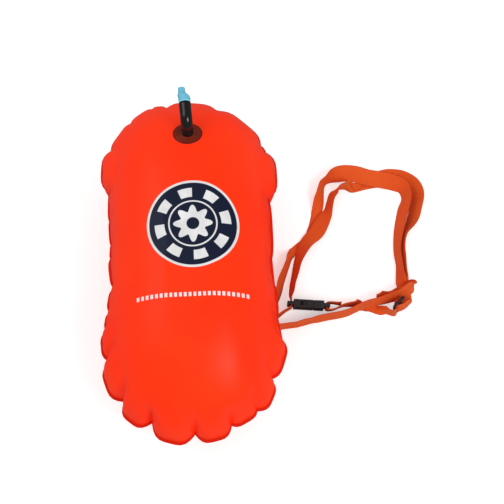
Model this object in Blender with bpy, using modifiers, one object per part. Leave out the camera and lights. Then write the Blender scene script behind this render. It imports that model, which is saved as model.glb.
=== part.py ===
"""An inflated tow float for open water swimming, with its belt, leash and side release buckle.

The float lies on its back on the floor. X runs across it towards the belt, Y along it towards the
valve and Z up. The origin is on the floor under the middle of the float. Lengths are in metres.
"""

import math

import bmesh
import bpy
import numpy as np
from mathutils import Matrix, Vector
from mathutils.bvhtree import BVHTree

MM = 0.001
GAP = 0.3 * MM
MERGE = 0.01 * MM

# The float: two welded film panels
HALF_WIDTH = 126.5 * MM
HALF_LENGTH = 252.0 * MM
THICKNESS = 205.0 * MM
FILM = 0.5 * MM
WELD_WIDTH = 4.0 * MM
SMOOTH_HALF_WIDTH = 118.0 * MM
SMOOTH_HALF_LENGTH = 243.0 * MM
ROUNDNESS = 3.2
PATCH_SHARE = 0.25
PUCKER_SHARE = 0.45
RING_SHARES = (0.25, 0.45, 0.63, 0.78, 0.89, 0.96, 1.0)
LOBE_STEPS = 3
# Notches of the puckered rim, clockwise: shares of half width and half length, then the bulge of the
# lobe up to the next notch as a share of its chord
NOTCH_SHARES = (
    (0.372, 0.933, 0.15), (0.838, 0.712, 0.10), (0.891, 0.670, 0.19), (0.895, 0.382, 0.035),
    (0.895, 0.022, 0.0), (0.908, -0.129, 0.05), (0.921, -0.313, 0.0), (0.960, -0.444, 0.20),
    (0.809, -0.658, 0.28), (0.650, -0.827, 0.16), (0.376, -0.898, 0.30), (-0.011, -0.936, 0.33),
    (-0.459, -0.865, 0.36), (-0.750, -0.743, 0.28), (-0.901, -0.521, 0.23), (-0.930, -0.349, 0.19),
    (-0.899, -0.248, 0.15), (-0.855, -0.110, 0.09), (-0.891, 0.064, 0.05), (-0.885, 0.142, 0.04),
    (-0.900, 0.285, 0.045), (-0.896, 0.460, 0.20), (-0.874, 0.721, 0.10), (-0.654, 0.881, 0.10),
    (-0.398, 0.968, 0.17), (-0.231, 0.969, 0.145),
)

# The valve: a flange under the film, a bent tube, a sleeve with a plug and a turning mouthpiece
VALVE_X = 4.0 * MM
VALVE_Y = 162.0 * MM
VALVE_TILT = math.radians(18.0)
VALVE_SWING = math.radians(4.0)
FLANGE_RADIUS = 21.0 * MM
FLANGE_THICKNESS = 1.2 * MM
FLANGE_DROP = 0.8 * MM
SPIGOT_RADIUS = 5.5 * MM
SPIGOT_BORE = 4.0 * MM
SPIGOT_LENGTH = 8.0 * MM
TUBE_RADIUS = 8.25 * MM
TUBE_WALL = 2.25 * MM
TUBE_RISE = 14.0 * MM
TUBE_BEND = 16.0 * MM
TUBE_RUN = 15.0 * MM
TUBE_BEND_STEPS = 6
ROUND_STEPS = 20
SLEEVE_RADIUS = 5.5 * MM
SLEEVE_LENGTH = 12.0 * MM
SLEEVE_BORE = 4.2 * MM
COLLAR_RADIUS = 8.3 * MM
COLLAR_TOP = 2.0 * MM
NECK_RADIUS = 5.6 * MM
NECK_TOP = 9.0 * MM
PLUG_STEM = 1.5 * MM
PLUG_HEAD = 2.4 * MM
PLUG_HEAD_LOW = 11.9 * MM
PLUG_TOP = 13.8 * MM
PLUG_WEB = 1.2 * MM
PLUG_WEB_LOW = -10.0 * MM
PLUG_WEB_HIGH = -6.0 * MM
MOUTH_RADIUS = 8.2 * MM
MOUTH_LOW = 2.3 * MM
MOUTH_SHOULDER = 14.0 * MM
MOUTH_TOP = 24.0 * MM
MOUTH_TIP_RADIUS = 4.6 * MM
MOUTH_TIP_SHIFT = 2.6 * MM
MOUTH_SKIRT_BORE = 5.9 * MM
MOUTH_SKIRT_TOP = 9.6 * MM
MOUTH_OUTLET_BORE = 2.75 * MM
GROOVE_RADIUS = 6.9 * MM
GROOVE_LOW = 4.4 * MM
GROOVE_HIGH = 6.4 * MM
RING_MAJOR = 6.26 * MM
RING_MINOR = 0.34 * MM
PLUG_RING_MINOR = 0.30 * MM
RING_STEPS = 8
MOUTH_OUTLET_SHARE = 0.7
MOUTH_EDGE_SHARE = 0.9
TIP_EDGE_SHARE = 0.86
TIP_FOOT_SHARE = 1.15

# Webbing
WEB_WIDTH = 25.0 * MM
WEB_THICKNESS = 1.4 * MM
FLOOR_GAP = 0.15 * MM
CURVE_STEPS = 3

# The side release buckle
BUCKLE_CENTRE = (164.8 * MM, -37.5 * MM, 17.95 * MM)
BUCKLE_HEADING = math.radians(-6.2)
BUCKLE_LEAN = math.radians(10.0)
BUCKLE_HALF_LENGTH = 31.0 * MM
BUCKLE_HALF_HEIGHT = 17.0 * MM
BUCKLE_HALF_DEPTH = 5.75 * MM
BUCKLE_END_HALF_DEPTH = 2.5 * MM
BAR_INNER = 27.5 * MM
SLOT_INNER = 22.0 * MM
SLOT_HALF_HEIGHT = 13.3 * MM
SOCKET_MOUTH = 7.0 * MM
SOCKET_FLOOR = -18.5 * MM
SOCKET_HALF_HEIGHT = 13.5 * MM
SOCKET_HALF_DEPTH = 3.0 * MM
WINDOW_LOW = -12.0 * MM
WINDOW_HIGH = -3.0 * MM
PRONG_HALF_DEPTH = 2.6 * MM
SPINE_TIP = -16.0 * MM
SPINE_HALF_HEIGHT = 2.2 * MM
ARM_ROOT_HEIGHT = 10.2 * MM
BUCKLE_ROUNDING = 1.0 * MM
# Side outline of one latch arm: distance along the buckle and height above its middle
ARM_OUTLINE = (
    (7.0 * MM, 8.0 * MM), (7.0 * MM, 12.4 * MM), (-3.5 * MM, 12.9 * MM), (-3.6 * MM, 15.6 * MM),
    (-7.5 * MM, 15.6 * MM), (-11.6 * MM, 12.9 * MM), (-15.0 * MM, 12.2 * MM), (-15.0 * MM, 9.6 * MM),
    (-4.0 * MM, 9.0 * MM),
)

# The strap adjuster
SLIDER_CENTRE = (295.8 * MM, -43.8 * MM, 16.0 * MM)
SLIDER_HEADING = math.radians(-137.0)
SLIDER_LEAN = math.radians(-8.0)
SLIDER_HALF_LENGTH = 11.0 * MM
SLIDER_HALF_HEIGHT = 15.5 * MM
SLIDER_HALF_DEPTH = 1.8 * MM
SLIDER_BAR_INNER = 8.8 * MM
SLIDER_BAR_HALF = 1.6 * MM
SLIDER_WINDOW_HALF = 13.3 * MM

# The leash anchor under the float
ANCHOR_X = 26.0 * MM
ANCHOR_LENGTH_SHARE = 0.643
ANCHOR_Y = -HALF_LENGTH * ANCHOR_LENGTH_SHARE
ANCHOR_RADIUS = 20.0 * MM
ANCHOR_COVER_RADIUS = 15.0 * MM
ANCHOR_FILM = 0.6 * MM
ANCHOR_STEPS = 20
ANCHOR_HEADING = math.radians(50.0)
LEASH_END = 13.0 * MM
PATCH_DROP = 0.7 * MM
LEASH_DROP = 3.1 * MM
COVER_DROP = 5.0 * MM

# Routes of the webbing. Each row is x and y in millimetres, the lean of the webbing in degrees (90
# stands on edge, 0 and 180 lie flat), its lift off the floor in millimetres and its share of the
# full width where it is folded lengthwise
REAR_ROUTE = (
    (315.0, -32.2, 240, 1.6, 0.5), (312.0, -28.6, 192, 4.4, 0.5),
    (308.6, -24.5, 180, 5.8, 0.5), (305.0, -16, 168, 6.4, 0.5),
    (303.4, -8, 138, 4.6, 0.75),
    (302.8, 1, 118, 1.6, 0.95), (303, 13, 110, 0, 1), (303, 24, 106, 0, 1),
    (302, 41, 108, 0, 1), (304, 59, 114, 0, 1), (308, 77, 122, 0, 1), (313, 95, 126, 0, 1),
    (318, 111, 128, 0, 1), (323.5, 128, 120, 0, 1), (320, 144, 126, 0, 1), (306, 153, 143, 1, 1),
    (286, 159, 155, 3.0, 1), (267, 163, 156, 4.2, 1), (250, 168.8, 156, 5.2, 1), (233, 171.6, 158, 4.6, 1),
    (217, 168, 130, 1.5, 1), (205, 161, 100, 0, 1), (198, 153, 108, 0, 1), (195, 143, 115, 0, 1),
    (193.0, 133, 125, 0, 0.9), (190.4, 123, 150, 0, 0.7), (188, 114, 172, 0, 0.62), (185, 102, 180, 0, 0.6),
    (181, 89, 180, 0, 0.6), (175, 76, 180, 0, 0.55), (167, 66, 180, 0, 0.5), (157.5, 58.5, 180, 0, 0.5),
    (149, 51.5, 174, 0, 0.5), (145.2, 45.4, 132, 0, 0.55),
    (142.6, 40, 108, 0, 0.8), (137.6, 27, 104, 0, 1),
    (128, 4, 110, 0, 1), (124, -10, 110, 0, 1), (119.5, -24, 104, 0, 1), (114.5, -38, 96, 0, 1),
    (110, -48.5, 90, 0, 1), (109.4, -53.4, 88, 0, 1), (111.6, -56.6, 88, 0, 1), (115.4, -55.6, 90, 0.5, 1),
    (121, -50.8, 92, 1.5, 1), (128, -46.2, 94, 3.2, 1), (134, -42.9, 96, 4.8, 1), (138.2, -40.6, 94, 5.3, 1),
    (140.2, -38.4, 91, 5.3, 1), (140.5, -36.0, 90, 5.3, 1),
)
FRONT_ROUTE = (
    (140.5, -35.6, 90, 5.3, 1), (140.4, -32.0, 90, 5.3, 1),
    (140.6, -26, 92, 4.6, 1), (141.6, -17, 106, 2.6, 1),
    (144.4, -2, 110, 0.4, 1),
    (148.6, 12, 114, 0, 1), (153.4, 30, 119, 0.6, 1), (161, 48, 133, 2, 1), (169.6, 63, 148, 2.6, 1),
    (184, 78, 163, 2.6, 1), (192.5, 92, 160, 2.6, 1), (200.4, 106, 140, 2.2, 1), (204.6, 114, 120, 0.6, 1),
    (209, 128, 116, 0, 1), (215, 140, 122, 0, 1), (222, 147, 98, 0, 1), (231, 149.5, 88, 0, 1),
    (238, 149.8, 66, 0, 0.9), (245, 149.4, 30, 0, 0.6), (253, 151.6, 9, 0, 0.58), (263, 155.4, 9, 0, 0.7),
    (275, 159, 14, 0, 0.85), (288, 161.5, 26, 0, 1), (300, 163, 38, 0, 1), (320, 159.5, 50, 0, 1),
    (336, 147.5, 50, 0, 1), (341, 130, 47, 0, 1), (335, 107, 47, 0, 1), (330.6, 94, 48, 0, 1),
    (325, 83, 56, 0, 1), (315.4, 71, 64, 0, 1), (310.4, 59, 68, 0, 1), (308.2, 44, 70, 0, 1),
    (308.2, 31, 70, 0, 1), (307.8, 13, 70, 0, 1), (307.4, 1, 62, 0.6, 0.95), (306.6, -8, 40, 1.7, 0.75),
    (305.4, -16, 12, 2.3, 0.5), (305.6, -24.5, 3, 2.4, 0.5), (307.7, -31.0, 0, 2.2, 0.5),
)
LEASH_ROUTE = (
    (48, -137, 0, 0, 1), (56, -127, 0, 0, 1), (70, -109, 0, 0, 1),
    (86, -90, 10, 0, 1), (99, -77, 38, 0, 1), (112, -69.6, 72, 0, 1), (124, -66.8, 85, 0, 1),
    (136, -65.5, 86, 0, 1), (146, -64.6, 86, 0, 1), (157, -61.9, 84, 0, 1), (168, -59.6, 86, 0, 1),
    (178, -57.6, 82, 0, 1), (194, -54.8, 82, 0, 1), (208, -53.0, 82, 0, 1), (221, -50.4, 82, 1.0, 1),
    (232, -46.2, 82, 2.2, 1), (245, -40.8, 82, 3.2, 1), (254, -38, 82, 3.4, 1),
)
LOOP_ROUTE = (
    (255.4, -37.7, 82, 3.4, 1), (264, -36.4, 80, 3.6, 1), (275, -34.4, 76, 4.4, 1), (287, -31.8, 72, 7.2, 1),
    (298, -29.0, 68, 9.2, 1), (309, -23.0, 62, 9.4, 1),
    (316.4, -17.6, 62, 8.4, 1), (320, -14.4, 80, 6.4, 0.9),
    (320.6, -11.6, 110, 4, 0.75), (317.8, -10.0, 145, 2, 0.6), (310, -13.0, 172, 0.2, 0.5),
    (300, -17.4, 180, 0, 0.5),
    (290, -22.6, 178, 0, 0.55), (281, -26.6, 150, 0, 0.75),
    (272.6, -29.4, 116, 0, 1), (264.6, -31.4, 104, 1, 1),
)
TAIL_ROUTE = (
    (283.4, -53.0, 90, 0.6, 1), (277.6, -49.8, 98, 0, 0.9),
    (271, -47.0, 140, 0, 0.6), (264, -43.8, 178, 0, 0.5),
    (255, -40.2, 178, 0, 0.5), (246, -38.4, 172, 0, 0.5),
    (239.6, -37.9, 130, 0, 0.7), (233.4, -37.7, 98, 0, 1),
)
MALE_END_ROUTE = (
    (231.6, -37.6, 92, 0.2, 1), (224, -38.2, 88, 1.2, 1), (216, -39.6, 84, 3, 1), (209, -42.2, 82, 4.6, 1),
    (204, -44.8, 80, 5.3, 1), (199, -46.2, 80, 5.3, 1),
    (194.5, -46.4, 80, 5.3, 1), (191.2, -45.2, 84, 5.3, 1),
    (189.7, -42.4, 90, 5.3, 1), (189.9, -39.0, 92, 5.3, 1),
    (191.8, -36.4, 97, 5.3, 1), (195.4, -35.4, 100, 5.3, 1),
    (201, -35.9, 100, 5.3, 1), (207, -36.9, 98, 5, 1), (212.6, -37.3, 95, 4.4, 1),
)
# Paths of the webbing through the strap adjuster: distance along the belt and out of the frame
SLIDER_WEAVE_PATH = (
    (-11.8, 3.3), (-9.8, 3.3), (-8.1, 2.4), (-7.1, 0.6), (-6.6, -1.6), (-5.2, -3.6), (-2.8, -4.7),
    (0.0, -5.0), (2.8, -4.7), (5.2, -3.6), (6.6, -1.6), (7.1, 0.6), (8.1, 2.4), (9.8, 3.3), (11.8, 3.3),
)
SLIDER_LOOP_PATH = (
    (-11.8, 7.1), (-9.0, 6.9), (-5.0, 6.3), (-1.0, 5.0), (2.2, 3.4), (4.0, 1.5), (4.2, -0.6), (2.8, -2.4),
    (0.0, -3.0), (-2.8, -2.4), (-4.2, -0.6), (-4.4, 1.2), (-5.6, 3.2), (-7.8, 4.7), (-10.4, 5.2),
)
FILM_COLOUR = (1.0, 0.05, 0.005, 1.0)
WEB_COLOUR = (0.83, 0.10, 0.012, 1.0)
BLACK = (0.01, 0.01, 0.011, 1.0)
BLUE = (0.14, 0.50, 0.70, 1.0)
PALE_BLUE = (0.27, 0.76, 0.92, 1.0)
CLEAR_GREY = (0.55, 0.58, 0.60, 1.0)


def clear_scene():
    """Remove everything, so the file can be run again."""
    for old in list(bpy.data.objects):
        bpy.data.objects.remove(old)
    for group in list(bpy.data.collections):
        bpy.data.collections.remove(group)


def new_collection(name):
    """A collection linked to the scene."""
    group = bpy.data.collections.new(name)
    bpy.context.scene.collection.children.link(group)
    return group


def material(name, colour, roughness):
    """A plain surface of one colour."""
    surface = bpy.data.materials.new(name)
    surface.use_nodes = True
    shader = surface.node_tree.nodes["Principled BSDF"]
    shader.inputs["Base Color"].default_value = colour
    shader.inputs["Roughness"].default_value = roughness
    shader.inputs["Metallic"].default_value = 0.0
    return surface


def add_mesh(name, bm, colour, roughness, group, origin=(0.0, 0.0, 0.0)):
    """Turn a bmesh in world coordinates into an object with its origin at the given point."""
    bm.normal_update()
    bmesh.ops.recalc_face_normals(bm, faces=bm.faces)
    bmesh.ops.translate(bm, verts=bm.verts, vec=-Vector(origin))
    mesh = bpy.data.meshes.new(name)
    bm.to_mesh(mesh)
    bm.free()
    piece = bpy.data.objects.new(name, mesh)
    piece.location = origin
    mesh.shade_smooth()
    mesh.set_sharp_from_angle(angle=math.radians(35.0))
    mesh.materials.append(material(name + "_surface", colour, roughness))
    group.objects.link(piece)
    return piece


def add_guide(name, bm, group):
    """A cutter: it is not part of the model."""
    bm.normal_update()
    bmesh.ops.recalc_face_normals(bm, faces=bm.faces)
    mesh = bpy.data.meshes.new(name)
    bm.to_mesh(mesh)
    bm.free()
    guide = bpy.data.objects.new(name, mesh)
    guide.hide_render = True
    guide.display_type = "WIRE"
    group.objects.link(guide)
    return guide


def boolean(piece, guide, operation):
    """Cut or join a piece with a guide."""
    step = piece.modifiers.new(operation.title(), "BOOLEAN")
    step.operation = operation
    step.object = guide


def box(low, high, matrix=None):
    """A box between two corners, in its own frame, then moved by a matrix."""
    bm = bmesh.new()
    bmesh.ops.create_cube(bm, size=1.0)
    low, high = Vector(low), Vector(high)
    for vert in bm.verts:
        vert.co = Vector(tuple((a + b) / 2 + c * (b - a) for a, b, c in zip(low, high, vert.co)))
    if matrix is not None:
        bm.transform(matrix)
    return bm


def lathe(outline, matrix, steps=ROUND_STEPS):
    """Turn a closed outline of (radius, height) round the local Z axis with a Screw modifier."""
    bm = bmesh.new()
    corners = [bm.verts.new((radius, 0.0, height)) for radius, height in outline]
    closed = min(radius for radius, height in outline) > 0.0
    pairs = list(zip(corners, corners[1:]))
    if closed:
        pairs.append((corners[-1], corners[0]))
    for a, b in pairs:
        bm.edges.new((a, b))
    mesh = bpy.data.meshes.new("profile")
    bm.to_mesh(mesh)
    bm.free()
    profile = bpy.data.objects.new("profile", mesh)
    bpy.context.scene.collection.objects.link(profile)
    screw = profile.modifiers.new("Screw", "SCREW")
    screw.steps = steps
    screw.render_steps = steps
    screw.use_merge_vertices = True
    screw.merge_threshold = MERGE
    turned = bpy.data.meshes.new_from_object(profile.evaluated_get(bpy.context.evaluated_depsgraph_get()))
    bpy.data.objects.remove(profile)
    result = bmesh.new()
    result.from_mesh(turned)
    bpy.data.meshes.remove(turned)
    bmesh.ops.remove_doubles(result, verts=result.verts, dist=MERGE)
    result.transform(matrix)
    return result


def thickened(bm, thickness, offset):
    """Give an open surface a thickness with Solidify and return it as a closed bmesh."""
    mesh = bpy.data.meshes.new("sheet")
    bm.to_mesh(mesh)
    bm.free()
    sheet = bpy.data.objects.new("sheet", mesh)
    bpy.context.scene.collection.objects.link(sheet)
    solidify = sheet.modifiers.new("Solidify", "SOLIDIFY")
    solidify.thickness = thickness
    solidify.offset = offset
    solid = bpy.data.meshes.new_from_object(sheet.evaluated_get(bpy.context.evaluated_depsgraph_get()))
    bpy.data.objects.remove(sheet)
    result = bmesh.new()
    result.from_mesh(solid)
    bpy.data.meshes.remove(solid)
    return result


# The float


def rim_points():
    """Points round the puckered rim: an arc over each lobe between two notches."""
    rim = []
    for i, (x, y, bulge_share) in enumerate(NOTCH_SHARES):
        nx, ny, _ = NOTCH_SHARES[(i + 1) % len(NOTCH_SHARES)]
        start = np.array((x * HALF_WIDTH, y * HALF_LENGTH))
        end = np.array((nx * HALF_WIDTH, ny * HALF_LENGTH))
        chord = end - start
        outward = np.array((-chord[1], chord[0]))
        for step in range(LOBE_STEPS):
            share = step / LOBE_STEPS
            rim.append(start + chord * share + outward * bulge_share * 4 * share * (1 - share))
    return rim


def smooth_point(direction):
    """The point of the smooth rounded rectangle in a direction."""
    x = abs(direction[0]) / SMOOTH_HALF_WIDTH
    y = abs(direction[1]) / SMOOTH_HALF_LENGTH
    return direction / (x**ROUNDNESS + y**ROUNDNESS) ** (1 / ROUNDNESS)


def height_share(share, rim_point):
    """Height over the seam as a share of the rise, at a share of the way out to the rim."""
    x = rim_point[0] / HALF_WIDTH
    y = rim_point[1] / HALF_LENGTH
    sine = y * y / (x * x + y * y)
    power = 2.0 + 1.4 * sine
    root = 0.5 + 0.1 * sine
    return (1 - share**power) ** root


def panel_surface(side):
    """Outer surface of one panel. Side is 1 for the front and -1 for the back."""
    rim = rim_points()
    around = len(rim)
    rings = len(RING_SHARES) + 1
    seam = THICKNESS / 2
    base = seam + side * (GAP / 2 + FILM)
    rise = seam - GAP / 2 - FILM
    bm = bmesh.new()
    bmesh.ops.create_uvsphere(bm, u_segments=around, v_segments=rings * 2, radius=1.0)
    spare = [vert for vert in bm.verts if vert.co.z < -0.5 / rings]
    bmesh.ops.delete(bm, geom=spare, context="VERTS")
    for vert in bm.verts:
        ring = round(math.acos(max(-1.0, min(1.0, vert.co.z))) * 2 * rings / math.pi)
        index = round(math.atan2(vert.co.y, vert.co.x) * around / (2 * math.pi)) % around
        edge = rim[(-index) % around]
        if ring == rings:
            vert.co = (edge[0], edge[1], base)
            continue
        share = RING_SHARES[ring - 1] if ring else 0.0
        inner = edge * (1 - WELD_WIDTH / np.linalg.norm(edge))
        smooth = smooth_point(edge / np.linalg.norm(edge))
        t = max(0.0, (share - PUCKER_SHARE) / (1 - PUCKER_SHARE))
        blend = t * t * (3 - 2 * t)
        spot = share * ((1 - blend) * smooth + blend * inner)
        if side > 0:
            height = rise * height_share(share, edge)
        else:
            flat_share = max(0.0, (share - PATCH_SHARE) / (1 - PATCH_SHARE))
            height = rise * height_share(flat_share, edge)
        vert.co = (spot[0], spot[1], base + side * height)
    bm.normal_update()
    bmesh.ops.recalc_face_normals(bm, faces=bm.faces)
    top = max(bm.faces, key=lambda face: face.calc_center_median().z * side)
    top.normal_update()
    if top.normal.z * side < 0:
        bmesh.ops.reverse_faces(bm, faces=bm.faces)
    return bm


def make_panels(parts, cutters):
    """The front and back panels, with a hole in the front one for the valve tube."""
    front = panel_surface(1)
    back = panel_surface(-1)
    front_tree = BVHTree.FromBMesh(front)
    back_tree = BVHTree.FromBMesh(back)
    front_panel = add_mesh("front_panel", thickened(front, FILM, -1.0), FILM_COLOUR, 0.25, parts)
    add_mesh("back_panel", thickened(back, FILM, -1.0), FILM_COLOUR, 0.25, parts)
    matrix = valve_frame(front_tree)
    hole = lathe(
        (
            (0.0, TUBE_RISE), (TUBE_RADIUS + GAP, TUBE_RISE),
            (TUBE_RADIUS + GAP, -TUBE_RISE), (0.0, -TUBE_RISE),
        ),
        matrix,
    )
    boolean(front_panel, add_guide("tube_hole", hole, cutters), "DIFFERENCE")
    return front_tree, back_tree


# The valve


def valve_axis():
    """The direction in which the tube leaves the float."""
    return Vector((0.0, math.sin(VALVE_TILT), math.cos(VALVE_TILT)))


def valve_frame(front_tree):
    """Frame on the float's outer surface, Z along the valve and X across the float."""
    spot = front_tree.ray_cast(Vector((VALVE_X, VALVE_Y, THICKNESS * 2)), Vector((0.0, 0.0, -1.0)))[0]
    z = valve_axis()
    x = Vector((1.0, 0.0, 0.0))
    y = z.cross(x)
    turn = Matrix((x, y, z)).transposed().to_4x4()
    return Matrix.Translation(spot) @ turn


def flange_seat(front_tree, matrix):
    """How far below the base point a flat disc must lie to clear the inside of the film."""
    lowest = 0.0
    for step in range(ROUND_STEPS):
        angle = 2 * math.pi * step / ROUND_STEPS
        spot = Vector((FLANGE_RADIUS * math.cos(angle), FLANGE_RADIUS * math.sin(angle), THICKNESS))
        hit = front_tree.ray_cast(matrix @ spot, -valve_axis())[0]
        lowest = min(lowest, (matrix.inverted() @ hit).z)
    return lowest - FILM - FLANGE_DROP


def tube_path(matrix, start):
    """Centre line of the bent tube, and the point and direction of its end."""
    lift = valve_axis()
    swing = Matrix.Rotation(VALVE_SWING, 3, "Z")
    ahead = swing @ Vector((0.0, math.cos(VALVE_TILT), -math.sin(VALVE_TILT)))
    turn = math.pi / 2 - VALVE_TILT
    points = [matrix @ Vector((0.0, 0.0, start)), matrix @ Vector((0.0, 0.0, TUBE_RISE))]
    for step in range(1, TUBE_BEND_STEPS + 1):
        angle = turn * step / TUBE_BEND_STEPS
        bend = lift * math.sin(angle) + ahead * (1 - math.cos(angle))
        points.append(points[1] + bend * TUBE_BEND)
    heading = (lift * math.cos(turn) + ahead * math.sin(turn)).normalized()
    points.append(points[-1] + heading * TUBE_RUN)
    return points, heading


def sweep(points, radius, wall):
    """A tube along a centre line: a bevelled curve given a wall."""
    curve = bpy.data.curves.new("centre_line", "CURVE")
    curve.dimensions = "3D"
    curve.bevel_depth = radius
    curve.bevel_resolution = 3
    line = curve.splines.new("POLY")
    line.points.add(len(points) - 1)
    for spot, point in zip(points, line.points):
        point.co = (spot[0], spot[1], spot[2], 1.0)
    guide = bpy.data.objects.new("centre_line", curve)
    bpy.context.scene.collection.objects.link(guide)
    skin = bpy.data.meshes.new_from_object(guide.evaluated_get(bpy.context.evaluated_depsgraph_get()))
    bpy.data.objects.remove(guide)
    bm = bmesh.new()
    bm.from_mesh(skin)
    bpy.data.meshes.remove(skin)
    bmesh.ops.remove_doubles(bm, verts=bm.verts, dist=MERGE)
    bm.normal_update()
    bmesh.ops.recalc_face_normals(bm, faces=bm.faces)
    centre = sum((Vector(spot) for spot in points[:2]), Vector()) / 2
    face = min(bm.faces, key=lambda item: (item.calc_center_median() - centre).length)
    if face.normal.dot(face.calc_center_median() - centre) < 0:
        bmesh.ops.reverse_faces(bm, faces=bm.faces)
    return thickened(bm, wall, -1.0)


def make_valve(parts, cutters, front_tree):
    """All pieces of the valve."""
    matrix = valve_frame(front_tree)
    seat = flange_seat(front_tree, matrix)
    flange = lathe(
        (
            (SPIGOT_BORE, SPIGOT_LENGTH + seat), (SPIGOT_RADIUS, SPIGOT_LENGTH + seat), (SPIGOT_RADIUS, seat),
            (FLANGE_RADIUS, seat), (FLANGE_RADIUS, seat - FLANGE_THICKNESS),
            (SPIGOT_BORE, seat - FLANGE_THICKNESS),
        ),
        matrix,
        ROUND_STEPS + ROUND_STEPS // 2,
    )
    add_mesh("valve_flange", flange, BLACK, 0.4, parts)
    points, heading = tube_path(matrix, seat + GAP)
    add_mesh("valve_tube", sweep(points, TUBE_RADIUS, TUBE_WALL), BLACK, 0.15, parts)
    side = heading.cross(Vector((0.0, 0.0, 1.0))).normalized()
    end = Matrix((side, side.cross(heading) * -1.0, heading)).transposed().to_4x4()
    end = Matrix.Translation(points[-1]) @ end
    body = lathe(
        (
            (SLEEVE_BORE, NECK_TOP), (NECK_RADIUS, NECK_TOP), (NECK_RADIUS, COLLAR_TOP),
            (COLLAR_RADIUS, COLLAR_TOP),
            (COLLAR_RADIUS, GAP), (SLEEVE_RADIUS, GAP), (SLEEVE_RADIUS, -SLEEVE_LENGTH),
            (SLEEVE_BORE, -SLEEVE_LENGTH),
        ),
        end,
    )
    add_mesh("valve_body", body, PALE_BLUE, 0.3, parts)
    make_plug(parts, cutters, end)
    make_mouthpiece(parts, cutters, end)
    return end


def ring_outline(centre, minor):
    """Outline of a round ring section at a (radius, height)."""
    angles = [-2 * math.pi * step / RING_STEPS for step in range(RING_STEPS)]
    return [(centre[0] + minor * math.cos(angle), centre[1] + minor * math.sin(angle)) for angle in angles]


def make_plug(parts, cutters, end):
    """The fixed plug that the mouthpiece closes on, carried by three webs in the sleeve."""
    stem = lathe(
        (
            (0.0, PLUG_TOP), (PLUG_HEAD - PLUG_RING_MINOR, PLUG_TOP),
            (PLUG_HEAD, PLUG_HEAD_LOW + PLUG_RING_MINOR),
            (PLUG_HEAD, PLUG_HEAD_LOW), (PLUG_STEM, PLUG_HEAD_LOW - PLUG_RING_MINOR),
            (PLUG_STEM, PLUG_WEB_LOW), (0.0, PLUG_WEB_LOW),
        ),
        end,
    )
    plug = add_mesh("valve_plug", stem, CLEAR_GREY, 0.35, parts)
    for turn in range(3):
        web = box(
            (0.0, -PLUG_WEB / 2, PLUG_WEB_LOW + GAP), (SLEEVE_BORE - GAP, PLUG_WEB / 2, PLUG_WEB_HIGH),
            end @ Matrix.Rotation(2 * math.pi * turn / 3, 4, "Z"),
        )
        boolean(plug, add_guide("plug_web_%d" % turn, web, cutters), "UNION")
    centre = (PLUG_STEM + GAP + PLUG_RING_MINOR, PLUG_HEAD_LOW - PLUG_RING_MINOR * 3)
    outline = ring_outline(centre, PLUG_RING_MINOR)
    add_mesh("plug_o_ring", lathe(outline, end), BLACK, 0.5, parts)


def make_mouthpiece(parts, cutters, end):
    """The turning mouthpiece and the ring that seals it on the neck."""
    origin = end.translation
    skin = lathe(
        (
            (MOUTH_OUTLET_BORE, MOUTH_SHOULDER), (MOUTH_RADIUS * MOUTH_EDGE_SHARE, MOUTH_SHOULDER),
            (MOUTH_RADIUS, MOUTH_SHOULDER - MOUTH_LOW / 2), (MOUTH_RADIUS, MOUTH_LOW),
            (MOUTH_SKIRT_BORE, MOUTH_LOW),
            (MOUTH_SKIRT_BORE, GROOVE_LOW), (GROOVE_RADIUS, GROOVE_LOW), (GROOVE_RADIUS, GROOVE_HIGH),
            (MOUTH_SKIRT_BORE, GROOVE_HIGH), (MOUTH_SKIRT_BORE, MOUTH_SKIRT_TOP),
            (MOUTH_OUTLET_BORE, PLUG_HEAD_LOW - GAP),
        ),
        end,
    )
    mouthpiece = add_mesh("mouthpiece", skin, BLUE, 0.35, parts, origin)
    shift = end @ Matrix.Translation(Vector((-MOUTH_TIP_SHIFT, 0.0, 0.0)))
    tip = lathe(
        (
            (0.0, MOUTH_TOP), (MOUTH_TIP_RADIUS * TIP_EDGE_SHARE, MOUTH_TOP),
            (MOUTH_TIP_RADIUS, MOUTH_TOP - MOUTH_LOW / 2),
            (MOUTH_TIP_RADIUS * TIP_FOOT_SHARE, MOUTH_SHOULDER - GAP), (0.0, MOUTH_SHOULDER - GAP),
        ),
        shift,
    )
    boolean(mouthpiece, add_guide("mouth_tip", tip, cutters), "UNION")
    bore = lathe(
        (
            (0.0, MOUTH_TOP * 1.1), (MOUTH_OUTLET_BORE * MOUTH_OUTLET_SHARE, MOUTH_TOP * 1.1),
            (MOUTH_OUTLET_BORE * MOUTH_OUTLET_SHARE, PLUG_HEAD_LOW), (0.0, PLUG_HEAD_LOW),
        ),
        end @ Matrix.Translation(Vector((-MOUTH_TIP_SHIFT * 0.4, 0.0, 0.0))),
    )
    boolean(mouthpiece, add_guide("mouth_bore", bore, cutters), "DIFFERENCE")
    chamber = lathe(
        (
            (0.0, PLUG_TOP + GAP * 4), (MOUTH_OUTLET_BORE, PLUG_TOP + GAP * 4),
            (MOUTH_OUTLET_BORE, PLUG_HEAD_LOW), (0.0, PLUG_HEAD_LOW),
        ),
        end,
    )
    boolean(mouthpiece, add_guide("mouth_chamber", chamber, cutters), "DIFFERENCE")
    outline = ring_outline((RING_MAJOR, (GROOVE_LOW + GROOVE_HIGH) / 2), RING_MINOR)
    add_mesh("mouthpiece_o_ring", lathe(outline, end), BLACK, 0.5, parts, origin)


# Webbing


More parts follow.
